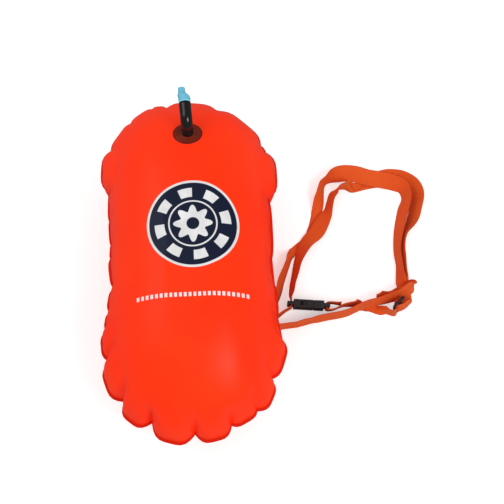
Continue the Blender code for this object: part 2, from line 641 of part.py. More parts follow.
def smooth_rows(rows, steps=CURVE_STEPS):
    """Points of a smooth curve through rows of numbers, with a few steps between rows."""
    table = np.array(rows, dtype=float)
    first = 2 * table[0] - table[1]
    last = 2 * table[-1] - table[-2]
    table = np.vstack((first, table, last))
    result = []
    for i in range(1, len(table) - 2):
        a, b, c, d = table[i - 1 : i + 3]
        for step in range(steps):
            t = step / steps
            square = (2 * a - 5 * b + 4 * c - d) * t**2
            cube = (3 * b - a - 3 * c + d) * t**3
            result.append((2 * b + (c - a) * t + square + cube) / 2)
    result.append(table[-2])
    return np.array(result)


def route_frames(rows, steps=CURVE_STEPS):
    """Centres and half width vectors of webbing that follows a route of rows."""
    table = smooth_rows(rows, steps)
    plan = table[:, :2] * MM
    heading = np.gradient(plan, axis=0)
    heading /= np.linalg.norm(heading, axis=1)[:, None]
    lean = np.radians(table[:, 2])
    half = WEB_WIDTH / 2 * table[:, 4]
    across = np.stack((-heading[:, 1] * np.cos(lean), heading[:, 0] * np.cos(lean), np.sin(lean)), axis=1)
    height = half * np.abs(np.sin(lean)) + WEB_THICKNESS / 2 * np.abs(np.cos(lean))
    height += table[:, 3] * MM + FLOOR_GAP
    centre = np.column_stack((plan, height))
    return centre, across * half[:, None]


def ribbon(centre, half_width):
    """Flat webbing along centres with half width vectors."""
    count = len(centre)
    bm = bmesh.new()
    bmesh.ops.create_grid(bm, x_segments=count - 1, y_segments=1, size=0.5)
    for vert in bm.verts:
        i = round((vert.co.x + 0.5) * (count - 1))
        side = 1.0 if vert.co.y > 0 else -1.0
        vert.co = Vector(centre[i] + side * half_width[i])
    return thickened(bm, WEB_THICKNESS, 0.0)


def slider_frame():
    """Frame of the strap adjuster: X along the belt through it, Z up its height."""
    along = Vector((math.cos(SLIDER_HEADING), math.sin(SLIDER_HEADING), 0.0))
    out = Vector((-along.y, along.x, 0.0))
    up = Vector((0.0, 0.0, math.cos(SLIDER_LEAN))) + out * math.sin(SLIDER_LEAN)
    out = up.cross(along)
    turn = Matrix((along, out, up)).transposed().to_4x4()
    return Matrix.Translation(Vector(SLIDER_CENTRE)) @ turn


def slider_strand(path):
    """Webbing that follows a path through the adjuster, across its whole width."""
    frame = slider_frame()
    rows = smooth_rows(path) * MM
    centre = np.array([frame @ Vector((along, out, 0.0)) for along, out in rows])
    up = np.array(frame.to_3x3() @ Vector((0.0, 0.0, WEB_WIDTH / 2)))
    return centre, np.tile(up, (len(rows), 1))


def between(start, end, steps=6, spread_power=1.0, turn_power=1.0):
    """Webbing that bridges from one end frame to another, leaving a small gap at both."""
    (p0, d0, w0), (p1, d1, w1) = start, end
    reach = np.linalg.norm(p1 - p0)
    p0 = p0 + d0 * GAP
    p1 = p1 - d1 * GAP
    centre = []
    half = []
    for step in range(steps + 1):
        t = step / steps
        a = 2 * t**3 - 3 * t**2 + 1
        b = t**3 - 2 * t**2 + t
        c = -2 * t**3 + 3 * t**2
        d = t**3 - t**2
        centre.append(a * p0 + b * d0 * reach + c * p1 + d * d1 * reach)
        spread = c**spread_power
        size = (1 - spread) * np.linalg.norm(w0) + spread * np.linalg.norm(w1)
        turn = c**turn_power
        mix = (1 - turn) * w0 + turn * w1
        half.append(mix / np.linalg.norm(mix) * size)
    return np.array(centre), np.array(half)


def end_of(centre, half):
    """Last point, heading and half width vector of a strand."""
    heading = centre[-1] - centre[-2]
    return centre[-1], heading / np.linalg.norm(heading), half[-1]


def start_of(centre, half):
    """First point, heading and half width vector of a strand."""
    heading = centre[1] - centre[0]
    return centre[0], heading / np.linalg.norm(heading), half[0]


def turned_over(frame):
    """The same end frame with its width vector reversed."""
    point, heading, half = frame
    return point, heading, -half


def looking_back(frame):
    """The same end frame with its heading reversed."""
    point, heading, half = frame
    return point, -heading, half


def make_belt(parts):
    """The belt, from the adjuster round the loop to the buckle and back."""
    rear = route_frames(REAR_ROUTE)
    front = route_frames(FRONT_ROUTE)
    weave = slider_strand(SLIDER_WEAVE_PATH)
    loop = slider_strand(SLIDER_LOOP_PATH)
    lead = between(looking_back(turned_over(start_of(*loop))), start_of(*rear), 12, 0.4, 2.6)
    rear = (np.vstack((lead[0][:-1], rear[0])), np.vstack((lead[1][:-1], rear[1])))
    follow = between(end_of(*front), turned_over(start_of(*weave)), 12, 2.5, 0.6)
    front = (np.vstack((front[0], follow[0][1:])), np.vstack((front[1], follow[1][1:])))
    add_mesh("belt_rear_run", ribbon(*rear), WEB_COLOUR, 0.8, parts)
    add_mesh("belt_front_run", ribbon(*front), WEB_COLOUR, 0.8, parts)
    add_mesh("belt_weave", ribbon(*weave), WEB_COLOUR, 0.8, parts)
    add_mesh("belt_end_loop", ribbon(*loop), WEB_COLOUR, 0.8, parts)
    tail = route_frames(TAIL_ROUTE)
    lead = between(end_of(*weave), start_of(*tail))
    tail = (np.vstack((lead[0][:-1], tail[0])), np.vstack((lead[1][:-1], tail[1])))
    add_mesh("belt_tail", ribbon(*tail), WEB_COLOUR, 0.8, parts)
    add_mesh("belt_tail_fold", ribbon(*route_frames(MALE_END_ROUTE)), WEB_COLOUR, 0.8, parts)


def under_float(back_tree, x, y, drop):
    """A point on the underside of the float, dropped along the direction the anchor faces."""
    up = Vector((0.0, 0.0, 1.0))
    facing = back_tree.ray_cast(Vector((ANCHOR_X, ANCHOR_Y, -THICKNESS)), up)[1]
    if facing.z > 0:
        facing = -facing
    return back_tree.ray_cast(Vector((x, y, -THICKNESS)), up)[0] + facing * drop


def anchored_end(back_tree):
    """The leash end that lies between the anchor patch and its cover."""
    ahead = np.array((math.cos(ANCHOR_HEADING), math.sin(ANCHOR_HEADING)))
    aside = np.array((-ahead[1], ahead[0])) * WEB_WIDTH / 2
    centre = []
    half = []
    for step in range(CURVE_STEPS * 2 + 1):
        reach = LEASH_END * (step / CURVE_STEPS - 1)
        x, y = np.array((ANCHOR_X, ANCHOR_Y)) + ahead * reach
        middle = under_float(back_tree, x, y, LEASH_DROP)
        one = under_float(back_tree, x + aside[0], y + aside[1], LEASH_DROP)
        other = under_float(back_tree, x - aside[0], y - aside[1], LEASH_DROP)
        centre.append(middle)
        half.append((one - other).normalized() * WEB_WIDTH / 2)
    return np.array(centre), np.array(half)


def make_leash(parts, back_tree):
    """The leash, from its welded anchor under the float to the loop round the belt."""
    leash = route_frames(LEASH_ROUTE)
    fixed = anchored_end(back_tree)
    lead = between(end_of(*fixed), start_of(*leash))
    centre = np.vstack((fixed[0][:-1], lead[0], leash[0][1:]))
    half = np.vstack((fixed[1][:-1], lead[1], leash[1][1:]))
    add_mesh("leash", ribbon(centre, half), WEB_COLOUR, 0.8, parts)
    add_mesh("leash_loop", ribbon(*route_frames(LOOP_ROUTE)), WEB_COLOUR, 0.8, parts)
    make_anchor_disc("anchor_patch", ANCHOR_RADIUS, PATCH_DROP, back_tree, parts)
    make_anchor_disc("anchor_cover", ANCHOR_COVER_RADIUS, COVER_DROP, back_tree, parts)


def make_anchor_disc(name, radius, drop, back_tree, parts):
    """A round film patch that follows the underside of the float at a small drop."""
    bm = bmesh.new()
    bmesh.ops.create_uvsphere(bm, u_segments=ANCHOR_STEPS, v_segments=8, radius=1.0)
    bmesh.ops.delete(bm, geom=[vert for vert in bm.verts if vert.co.z < -0.1], context="VERTS")
    for vert in bm.verts:
        share = math.acos(max(-1.0, min(1.0, vert.co.z))) * 2 / math.pi
        angle = math.atan2(vert.co.y, vert.co.x)
        x = ANCHOR_X + radius * share * math.cos(angle)
        y = ANCHOR_Y + radius * share * math.sin(angle)
        vert.co = under_float(back_tree, x, y, drop)
    bm.normal_update()
    bmesh.ops.recalc_face_normals(bm, faces=bm.faces)
    if next(iter(bm.faces)).normal.z > 0:
        bmesh.ops.reverse_faces(bm, faces=bm.faces)
    add_mesh(name, thickened(bm, ANCHOR_FILM, 1.0), FILM_COLOUR, 0.3, parts)


# The buckle and the adjuster


def buckle_frame():
    """Frame of the buckle: X along it, Z up its height as it stands on edge."""
    along = Vector((math.cos(BUCKLE_HEADING), math.sin(BUCKLE_HEADING), 0.0))
    out = Vector((-along.y, along.x, 0.0))
    up = Vector((0.0, 0.0, math.cos(BUCKLE_LEAN))) - out * math.sin(BUCKLE_LEAN)
    out = up.cross(along)
    turn = Matrix((along, out, up)).transposed().to_4x4()
    return Matrix.Translation(Vector(BUCKLE_CENTRE)) @ turn


def rounded_box(low, high, matrix, width):
    """A box with rounded edges."""
    bm = box(low, high)
    bmesh.ops.bevel(bm, geom=bm.edges[:], offset=width, segments=2, profile=0.5, affect="EDGES")
    bm.transform(matrix)
    return bm


def make_female(parts, cutters):
    """The socket half: a shell with a bar at its outer end."""
    frame = buckle_frame()
    shell = rounded_box(
        (-SLOT_INNER, -BUCKLE_HALF_DEPTH, -BUCKLE_HALF_HEIGHT),
        (SOCKET_MOUTH, BUCKLE_HALF_DEPTH, BUCKLE_HALF_HEIGHT),
        frame,
        BUCKLE_ROUNDING,
    )
    female = add_mesh("buckle_female", shell, BLACK, 0.35, parts)
    end = rounded_box(
        (-BUCKLE_HALF_LENGTH, -BUCKLE_END_HALF_DEPTH, -BUCKLE_HALF_HEIGHT + GAP),
        (-SLOT_INNER + BUCKLE_ROUNDING * 3, BUCKLE_END_HALF_DEPTH, BUCKLE_HALF_HEIGHT - GAP),
        frame,
        BUCKLE_ROUNDING,
    )
    boolean(female, add_guide("female_end", end, cutters), "UNION")
    slot = box(
        (-BAR_INNER, -BUCKLE_HALF_DEPTH * 2, -SLOT_HALF_HEIGHT),
        (-SLOT_INNER - GAP, BUCKLE_HALF_DEPTH * 2, SLOT_HALF_HEIGHT),
        frame,
    )
    boolean(female, add_guide("female_slot", slot, cutters), "DIFFERENCE")
    socket = box(
        (SOCKET_FLOOR, -SOCKET_HALF_DEPTH, -SOCKET_HALF_HEIGHT),
        (SOCKET_MOUTH * 2, SOCKET_HALF_DEPTH, SOCKET_HALF_HEIGHT),
        frame,
    )
    boolean(female, add_guide("socket", socket, cutters), "DIFFERENCE")
    for side in (-1, 1):
        low = min(side * SPINE_HALF_HEIGHT, side * BUCKLE_HALF_HEIGHT * 2)
        high = max(side * SPINE_HALF_HEIGHT, side * BUCKLE_HALF_HEIGHT * 2)
        depth = PRONG_HALF_DEPTH + GAP / 2
        window = box((WINDOW_LOW, -depth, low), (WINDOW_HIGH, depth, high), frame)
        boolean(female, add_guide("latch_window_%d" % side, window, cutters), "DIFFERENCE")


def make_male(parts, cutters):
    """The plug half: a shoulder, a middle prong and a bar at its outer end."""
    frame = buckle_frame()
    origin = frame.translation
    shoulder = rounded_box(
        (SOCKET_MOUTH + GAP, -BUCKLE_HALF_DEPTH, -BUCKLE_HALF_HEIGHT),
        (SLOT_INNER, BUCKLE_HALF_DEPTH, BUCKLE_HALF_HEIGHT),
        frame,
        BUCKLE_ROUNDING,
    )
    male = add_mesh("buckle_male", shoulder, BLACK, 0.35, parts, origin)
    end = rounded_box(
        (SLOT_INNER - BUCKLE_ROUNDING * 3, -BUCKLE_END_HALF_DEPTH, -BUCKLE_HALF_HEIGHT + GAP),
        (BUCKLE_HALF_LENGTH, BUCKLE_END_HALF_DEPTH, BUCKLE_HALF_HEIGHT - GAP),
        frame,
        BUCKLE_ROUNDING,
    )
    boolean(male, add_guide("male_end", end, cutters), "UNION")
    prong = box(
        (SPINE_TIP, -PRONG_HALF_DEPTH, -SPINE_HALF_HEIGHT),
        (SOCKET_MOUTH + BUCKLE_ROUNDING * 3, PRONG_HALF_DEPTH, SPINE_HALF_HEIGHT),
        frame,
    )
    boolean(male, add_guide("prong", prong, cutters), "UNION")
    slot = box(
        (SLOT_INNER + GAP, -BUCKLE_HALF_DEPTH * 2, -SLOT_HALF_HEIGHT),
        (BAR_INNER, BUCKLE_HALF_DEPTH * 2, SLOT_HALF_HEIGHT),
        frame,
    )
    boolean(male, add_guide("male_slot", slot, cutters), "DIFFERENCE")


def make_arm(name, side, parts):
    """One latch arm: a flat outline with a thickness, hinged at its root."""
    curve = bpy.data.curves.new(name + "_outline", "CURVE")
    curve.dimensions = "2D"
    curve.fill_mode = "BOTH"
    curve.extrude = PRONG_HALF_DEPTH
    line = curve.splines.new("POLY")
    line.points.add(len(ARM_OUTLINE) - 1)
    line.use_cyclic_u = True
    for (along, height), point in zip(ARM_OUTLINE, line.points):
        point.co = (along, height * side, 0.0, 1.0)
    guide = bpy.data.objects.new(name + "_outline", curve)
    bpy.context.scene.collection.objects.link(guide)
    plate = bpy.data.meshes.new_from_object(guide.evaluated_get(bpy.context.evaluated_depsgraph_get()))
    bpy.data.objects.remove(guide)
    bm = bmesh.new()
    bm.from_mesh(plate)
    bpy.data.meshes.remove(plate)
    bmesh.ops.remove_doubles(bm, verts=bm.verts, dist=MERGE)
    frame = buckle_frame()
    bm.transform(frame @ Matrix.Rotation(math.pi / 2, 4, "X"))
    origin = frame @ Vector((SOCKET_MOUTH, 0.0, ARM_ROOT_HEIGHT * side))
    add_mesh(name, bm, BLACK, 0.35, parts, origin)


def make_slider(parts, cutters):
    """The strap adjuster: a flat frame with a middle bar."""
    frame = slider_frame()
    plate = rounded_box(
        (-SLIDER_HALF_LENGTH, -SLIDER_HALF_DEPTH, -SLIDER_HALF_HEIGHT),
        (SLIDER_HALF_LENGTH, SLIDER_HALF_DEPTH, SLIDER_HALF_HEIGHT),
        frame,
        BUCKLE_ROUNDING * 0.7,
    )
    slider = add_mesh("tri_glide", plate, BLACK, 0.35, parts, frame.translation)
    for side in (-1, 1):
        inner = min(side * SLIDER_BAR_HALF, side * SLIDER_BAR_INNER)
        outer = max(side * SLIDER_BAR_HALF, side * SLIDER_BAR_INNER)
        slot = box(
            (inner, -SLIDER_HALF_DEPTH * 2, -SLIDER_WINDOW_HALF),
            (outer, SLIDER_HALF_DEPTH * 2, SLIDER_WINDOW_HALF),
            frame,
        )
        boolean(slider, add_guide("slider_slot_%d" % side, slot, cutters), "DIFFERENCE")


def main():
    clear_scene()
    parts = new_collection("swim_buoy")
    cutters = new_collection("cutters")
    front_tree, back_tree = make_panels(parts, cutters)
    make_valve(parts, cutters, front_tree)
    make_belt(parts)
    make_leash(parts, back_tree)
    make_female(parts, cutters)
    make_male(parts, cutters)
    make_arm("latch_arm_upper", 1, parts)
    make_arm("latch_arm_lower", -1, parts)
    make_slider(parts, cutters)


main()
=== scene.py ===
# %% [markdown]
# # An inflated tow float with its belt
#
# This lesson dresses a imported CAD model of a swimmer's tow float. The CAD gives every place and
# size, so the new pieces are worked out in the same frame, in metres, with Z up. The float lies on
# its back, X runs across it towards the belt and Y runs along it towards the valve.

# %% Load the frame
import math

import bmesh
import bpy
import numpy as np
from mathutils import Matrix, Vector
from mathutils.bvhtree import BVHTree


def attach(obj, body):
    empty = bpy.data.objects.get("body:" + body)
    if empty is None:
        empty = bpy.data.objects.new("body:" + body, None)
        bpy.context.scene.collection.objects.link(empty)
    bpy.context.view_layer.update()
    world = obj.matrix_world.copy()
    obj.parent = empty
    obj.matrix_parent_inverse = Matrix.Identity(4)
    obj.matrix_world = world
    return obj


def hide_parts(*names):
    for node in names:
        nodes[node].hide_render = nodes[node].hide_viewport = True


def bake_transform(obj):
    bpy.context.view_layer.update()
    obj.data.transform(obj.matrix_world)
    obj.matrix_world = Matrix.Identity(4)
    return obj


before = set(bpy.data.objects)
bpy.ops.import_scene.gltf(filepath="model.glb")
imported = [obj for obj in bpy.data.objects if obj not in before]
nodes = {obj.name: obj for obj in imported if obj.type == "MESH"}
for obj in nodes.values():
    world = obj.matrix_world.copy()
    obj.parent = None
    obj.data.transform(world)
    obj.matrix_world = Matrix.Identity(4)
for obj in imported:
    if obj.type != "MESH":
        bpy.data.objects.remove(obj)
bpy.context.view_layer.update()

MM = 0.001
scene = bpy.context.scene
scene.view_settings.view_transform = "Standard"

# %% [markdown]
# ## The camera
#
# A product shot from high above the float. The lens and the place were fitted to the picture, with
# the webbing taken as 25 mm wide, so the model falls on it as the real one does. A camera looks
# along its own minus Z, so the view direction is turned into a rotation.

# %% Place the camera
CAMERA_AZIMUTH = math.radians(-2.67)
CAMERA_ELEVATION = math.radians(70.0)
CAMERA_DISTANCE = 1.6
CAMERA_TARGET = Vector((85.4 * MM, 17.3 * MM, 102.5 * MM))
SENSOR_WIDTH = 36.0
FRAME_PIXELS = 504.0
FOCAL_PIXELS = 1146.0
back = Vector((
    math.sin(CAMERA_AZIMUTH) * math.cos(CAMERA_ELEVATION),
    -math.cos(CAMERA_AZIMUTH) * math.cos(CAMERA_ELEVATION),
    math.sin(CAMERA_ELEVATION),
))
lens = bpy.data.cameras.new("camera")
lens.sensor_width = SENSOR_WIDTH
lens.lens = FOCAL_PIXELS / FRAME_PIXELS * SENSOR_WIDTH
lens.clip_start = 0.01
camera = bpy.data.objects.new("camera", lens)
camera.location = CAMERA_TARGET + back * CAMERA_DISTANCE
camera.rotation_euler = (-back).to_track_quat("-Z", "Y").to_euler()
scene.collection.objects.link(camera)
scene.camera = camera
print("lens of", round(lens.lens, 2), "mm at", round(CAMERA_DISTANCE, 2), "m")

# %% [markdown]
# ## From numbers to a mesh
#
# Every new piece here is a surface over a grid: one parameter runs along it and one round it. The
# points come as one numpy array, so a whole surface is worked out at once. A closed solid needs a
# face for each cell of the grid, with the last column joined to the first, and something at each
# end: a cap or a pole.


# %% Grid helpers
def grid_quads(rows, columns):
    """Corners of the cells of a grid whose last column joins the first."""
    index = np.arange(rows * columns).reshape(rows, columns)
    index = np.hstack((index, index[:, :1]))
    corners = (index[:-1, :-1], index[:-1, 1:], index[1:, 1:], index[1:, :-1])
    return np.stack(corners, axis=-1).reshape(-1, 4)


def added(name, data):
    """An object in the scene for a mesh or a lamp."""
    made = bpy.data.objects.new(name, data)
    scene.collection.objects.link(made)
    return made


def faces_out(mesh, merge=0.0):
    """Turn a mesh's faces outwards, after points closer than a distance are merged."""
    bm = bmesh.new()
    bm.from_mesh(mesh)
    if merge:
        bmesh.ops.remove_doubles(bm, verts=bm.verts, dist=merge)
        bm.normal_update()
    bmesh.ops.recalc_face_normals(bm, faces=bm.faces)
    bm.to_mesh(mesh)
    bm.free()


def piece_from(name, points, faces, smooth_angle):
    """A piece from an array of points and lists of corners. Its faces are turned outwards, and edges
    sharper than an angle stay sharp."""
    mesh = bpy.data.meshes.new(name)
    mesh.from_pydata(np.asarray(points, dtype=float).reshape(-1, 3).tolist(), [], faces)
    faces_out(mesh, merge=1e-7)
    mesh.shade_smooth()
    mesh.set_sharp_from_angle(angle=math.radians(smooth_angle))
    return added(name, mesh)


def closed_loop(name, grid, smooth_angle):
    """A solid from rings of points whose last ring is the first again, as on a ring or a tube."""
    return piece_from(name, grid, grid_quads(*grid.shape[:2]).tolist(), smooth_angle)


def closed_surface(name, grid, smooth_angle):
    """A solid from rings of points. The first and the last ring are each closed to a pole at their
    middle."""
    rows, columns = grid.shape[:2]
    points = np.vstack((grid.reshape(-1, 3), grid[0].mean(axis=0), grid[-1].mean(axis=0)))
    faces = grid_quads(rows, columns).tolist()
    ring = np.arange(columns)
    after = np.roll(ring, -1)
    first, last = rows * columns, rows * columns + 1
    faces += np.stack((after, ring, np.full(columns, first)), axis=1).tolist()
    high = (rows - 1) * columns
    faces += np.stack((ring + high, after + high, np.full(columns, last)), axis=1).tolist()
    return piece_from(name, points, faces, smooth_angle)


# %% [markdown]
# ## Small sums that come back
#
# A soft step fades one shape into another. A strap is a line of points, so it takes the distance
# travelled along that line, and rows of numbers read off at any distance.

# %% Soft steps, directions and distances
def smoothstep(value):
    """0 below 0, 1 above 1, and a soft S between them."""
    t = np.clip(value, 0.0, 1.0)
    return t * t * (3 - 2 * t)


def unit_rows(vectors):
    """The same directions, each of length 1."""
    return vectors / np.linalg.norm(vectors, axis=1)[:, None]


def circle_angles(count):
    """Angles of evenly spaced points round a circle."""
    return np.linspace(0, 2 * np.pi, count, endpoint=False)


def travel(line):
    """How far along a line each of its points is."""
    return np.append(0.0, np.cumsum(np.linalg.norm(np.diff(line, axis=0), axis=1)))


def length_of(line):
    """The real length of a line."""
    return float(travel(line)[-1])


def read_along(line, rows, stops):
    """Rows of three numbers that belong to the points of a line, read at distances along it."""
    return np.column_stack([np.interp(stops, travel(line), rows[:, axis]) for axis in range(3)])


# %% [markdown]
# ## What each piece says about itself
#
# Besides its finish, a piece has a body that it rides on, so that it moves with the joints, and the
# CAD nodes that it stands for, whose plain solids are then hidden.

# %% Dress and declare
def dress(piece, finish):
    """Give a piece one finish."""
    piece.data.materials.clear()
    piece.data.materials.append(finish)


def declare(piece, body, slot, *stands_for):
    """Say which body a piece rides on and the CAD nodes that it replaces. The slot is not used."""
    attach(piece, body)
    if stands_for:
        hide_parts(*stands_for)


# %% [markdown]
# ## Materials
#
# Each finish is a small tree of nodes on the Principled shader. The helpers below only make and
# join nodes, so that a finish reads as a list of steps. Patterns read Object coordinates in metres,
# or a UV map where the pattern follows a strap.


# %% Node helpers
def join(finish, start, end):
    """A link between two sockets."""
    finish.node_tree.links.new(start, end)


def feed(finish, socket, value):
    """Give an input another node's output, three numbers of a colour, or a number."""
    if isinstance(value, bpy.types.NodeSocket):
        join(finish, value, socket)
    else:
        socket.default_value = (*value, 1.0) if isinstance(value, tuple) else value


def new_finish(name, colour, roughness, inputs=()):
    """A material with one Principled shader, and the shader node. More inputs are given by name."""
    finish = bpy.data.materials.new(name)
    finish.use_nodes = True
    shader = finish.node_tree.nodes["Principled BSDF"]
    for key, value in (("Base Color", colour), ("Roughness", roughness), *inputs):
        feed(finish, shader.inputs[key], value)
    return finish, shader


def node(finish, kind, **settings):
    """A new node with some of its settings."""
    made = finish.node_tree.nodes.new(kind)
    for key, value in settings.items():
        setattr(made, key, value)
    return made


def sum_of(finish, operation, *values):
    """One step of arithmetic on sockets or numbers, and its result."""
    step = node(finish, "ShaderNodeMath", operation=operation)
    for socket, value in zip(step.inputs, values):
        feed(finish, socket, value)
    return step.outputs[0]


def times(finish, first, second):
    """The product of two values."""
    return sum_of(finish, "MULTIPLY", first, second)


def larger(finish, first, *others):
    """The largest of two or more values."""
    for other in others:
        first = sum_of(finish, "MAXIMUM", first, other)
    return first


def distance_from(finish, value, centre):
    """How far a value is from a number, without its sign."""
    return sum_of(finish, "ABSOLUTE", sum_of(finish, "SUBTRACT", value, centre))


def mixed(finish, share, first, second):
    """A colour between two, by a share from 0 to 1. Each is a socket or three numbers."""
    step = node(finish, "ShaderNodeMix", data_type="RGBA")
    for number, value in ((0, share), (6, first), (7, second)):
        feed(finish, step.inputs[number], value)
    return step.outputs[2]


def noise(finish, where, scale, detail=2.0, roughness=0.5):
    """Cloudy noise at a scale in cycles per metre."""
    step = node(finish, "ShaderNodeTexNoise")
    for key, value in (("Vector", where), ("Scale", scale), ("Detail", detail), ("Roughness", roughness)):
        feed(finish, step.inputs[key], value)
    return step.outputs["Fac"]


def between_values(finish, value, low, high, new_low=0.0, new_high=1.0):
    """A value moved from one range to another, and held inside it."""
    step = node(finish, "ShaderNodeMapRange")
    for number, limit in enumerate((value, low, high, new_low, new_high)):
        feed(finish, step.inputs[number], limit)
    return step.outputs["Result"]


def raised(finish, shader, height, strength, distance):
    """Fine relief from a height."""
    step = node(finish, "ShaderNodeBump")
    for key, value in (("Strength", strength), ("Distance", distance), ("Height", height)):
        feed(finish, step.inputs[key], value)
    join(finish, step.outputs["Normal"], shader.inputs["Normal"])


def place_on(finish, kind="Object"):
    """Coordinates on a piece and their parts: Object in metres, or UV."""
    where = node(finish, "ShaderNodeTexCoord").outputs[kind]
    parts = node(finish, "ShaderNodeSeparateXYZ")
    join(finish, where, parts.inputs[0])
    return where, parts.outputs


# %% [markdown]
# ## Webbing: the weave
#
# The belt and the leash are 25 mm nylon webbing. Its yarns cross as fine ribs, and the selvedges are
# a little denser. The UV map runs across and along each strap in widths, so the same weave follows
# every bend. Rounded ribs across times ribs along, with every other yarn half a step further on,
# give the brick-like raised crossings of a plain weave. Its colour has painted shade in the valleys and
# painted light on the raised crossings.

# %% Webbing finish
WEB_WIDTH = 25.0 * MM
WEB_THICKNESS = 1.4 * MM
YARNS_ACROSS = 24.0
PICKS_PER_WIDTH = 19.0
# A shaded and a lit copy of the yarn colour: painted shade for the valleys, painted light for the tops
YARN_VALLEY_SHADE, YARN_TOP_LIGHT = (0.56, 0.042, 0.004), (0.93, 0.140, 0.018)
SOILED, SELVEDGE = (0.70, 0.066, 0.007), (0.60, 0.045, 0.005)

webbing, web_shader = new_finish("webbing_weave", (0.83, 0.10, 0.012), 0.72, (
    ("Sheen Weight", 0.12), ("Sheen Roughness", 0.5), ("Sheen Tint", (1.0, 0.45, 0.25)),
    ("Specular IOR Level", 0.2),
))
across_u, along_v = place_on(webbing, "UV")[1][:2]


def ribs(finish, value, count, shift=0.0):
    """Rounded ribs: the size of a sine of the value, count per unit."""
    phase = sum_of(finish, "MULTIPLY_ADD", value, count * math.pi, shift)
    return sum_of(finish, "ABSOLUTE", sum_of(finish, "SINE", phase))


yarns = ribs(webbing, across_u, YARNS_ACROSS)
yarn_number = sum_of(webbing, "FLOOR", times(webbing, across_u, YARNS_ACROSS))
odd = sum_of(webbing, "MODULO", yarn_number, 2.0)
picks = ribs(webbing, along_v, PICKS_PER_WIDTH, times(webbing, odd, math.pi / 2))
weave = times(webbing, sum_of(webbing, "POWER", yarns, 0.6), sum_of(webbing, "POWER", picks, 0.5))
where, _ = place_on(webbing)
soil = noise(webbing, where, 28.0, 3.0)
fibre = noise(webbing, where, 900.0, 2.0, 0.7)
edge = between_values(webbing, distance_from(webbing, across_u, 0.5), 0.44, 0.49)
# Painted shade in the weave's valleys and painted light on its raised crossings
base = mixed(webbing, between_values(webbing, weave, 0.1, 0.75), YARN_VALLEY_SHADE, YARN_TOP_LIGHT)
base = mixed(webbing, between_values(webbing, soil, 0.35, 0.7, 0.0, 0.35), base, SOILED)
base = mixed(webbing, times(webbing, edge, 0.45), base, SELVEDGE)
join(webbing, base, web_shader.inputs["Base Color"])
height = sum_of(webbing, "MULTIPLY_ADD", fibre, 0.25, weave)
raised(webbing, web_shader, height, 0.55, 0.00035)
print("webbing:", YARNS_ACROSS, "yarns and", PICKS_PER_WIDTH, "picks to a width")

# %% [markdown]
# ## Routes of the webbing
#
# The belt and leash lie on the floor as they were put down, mostly standing on edge. Each row of a
# route is a place in X and Y, the lean of the webbing in degrees (90 stands on edge, 0 and 180 lie
# flat), its lift off the floor and its share of the full width where it is folded lengthwise. The
# rows repeat the CAD's, so the strap lies where its solids do.

# %% The rows
REAR_ROUTE = (
    (315.0, -32.2, 240, 1.6, 0.5), (312.0, -28.6, 192, 4.4, 0.5),
    (308.6, -24.5, 180, 5.8, 0.5), (305.0, -16, 168, 6.4, 0.5),
    (303.4, -8, 138, 4.6, 0.75),
    (302.8, 1, 118, 1.6, 0.95), (303, 13, 110, 0, 1), (303, 24, 106, 0, 1),
    (302, 41, 108, 0, 1), (304, 59, 114, 0, 1), (308, 77, 122, 0, 1), (313, 95, 126, 0, 1),
    (318, 111, 128, 0, 1), (323.5, 128, 120, 0, 1), (320, 144, 126, 0, 1), (306, 153, 143, 1, 1),
    (286, 159, 155, 3.0, 1), (267, 163, 156, 4.2, 1), (250, 168.8, 156, 5.2, 1),
    (233, 171.6, 158, 4.6, 1),
    (217, 168, 130, 1.5, 1), (205, 161, 100, 0, 1), (198, 153, 108, 0, 1), (195, 143, 115, 0, 1),
    (193.0, 133, 125, 0, 0.9), (190.4, 123, 150, 0, 0.7), (188, 114, 172, 0, 0.62),
    (185, 102, 180, 0, 0.6), (181, 89, 180, 0, 0.6), (175, 76, 180, 0, 0.55), (167, 66, 180, 0, 0.5),
    (157.5, 58.5, 180, 0, 0.5), (149, 51.5, 174, 0, 0.5), (145.2, 45.4, 132, 0, 0.55),
    (142.6, 40, 108, 0, 0.8), (137.6, 27, 104, 0, 1),
    (128, 4, 110, 0, 1), (124, -10, 110, 0, 1), (119.5, -24, 104, 0, 1), (114.5, -38, 96, 0, 1),
    (110, -48.5, 90, 0, 1), (109.4, -53.4, 88, 0, 1), (111.6, -56.6, 88, 0, 1),
    (115.4, -55.6, 90, 0.5, 1), (121, -50.8, 92, 1.5, 1), (128, -46.2, 94, 3.2, 1),
    (134, -42.9, 96, 4.8, 1), (138.2, -40.6, 94, 5.3, 1), (140.2, -38.4, 91, 5.3, 1),
    (140.5, -36.0, 90, 5.3, 1),
)
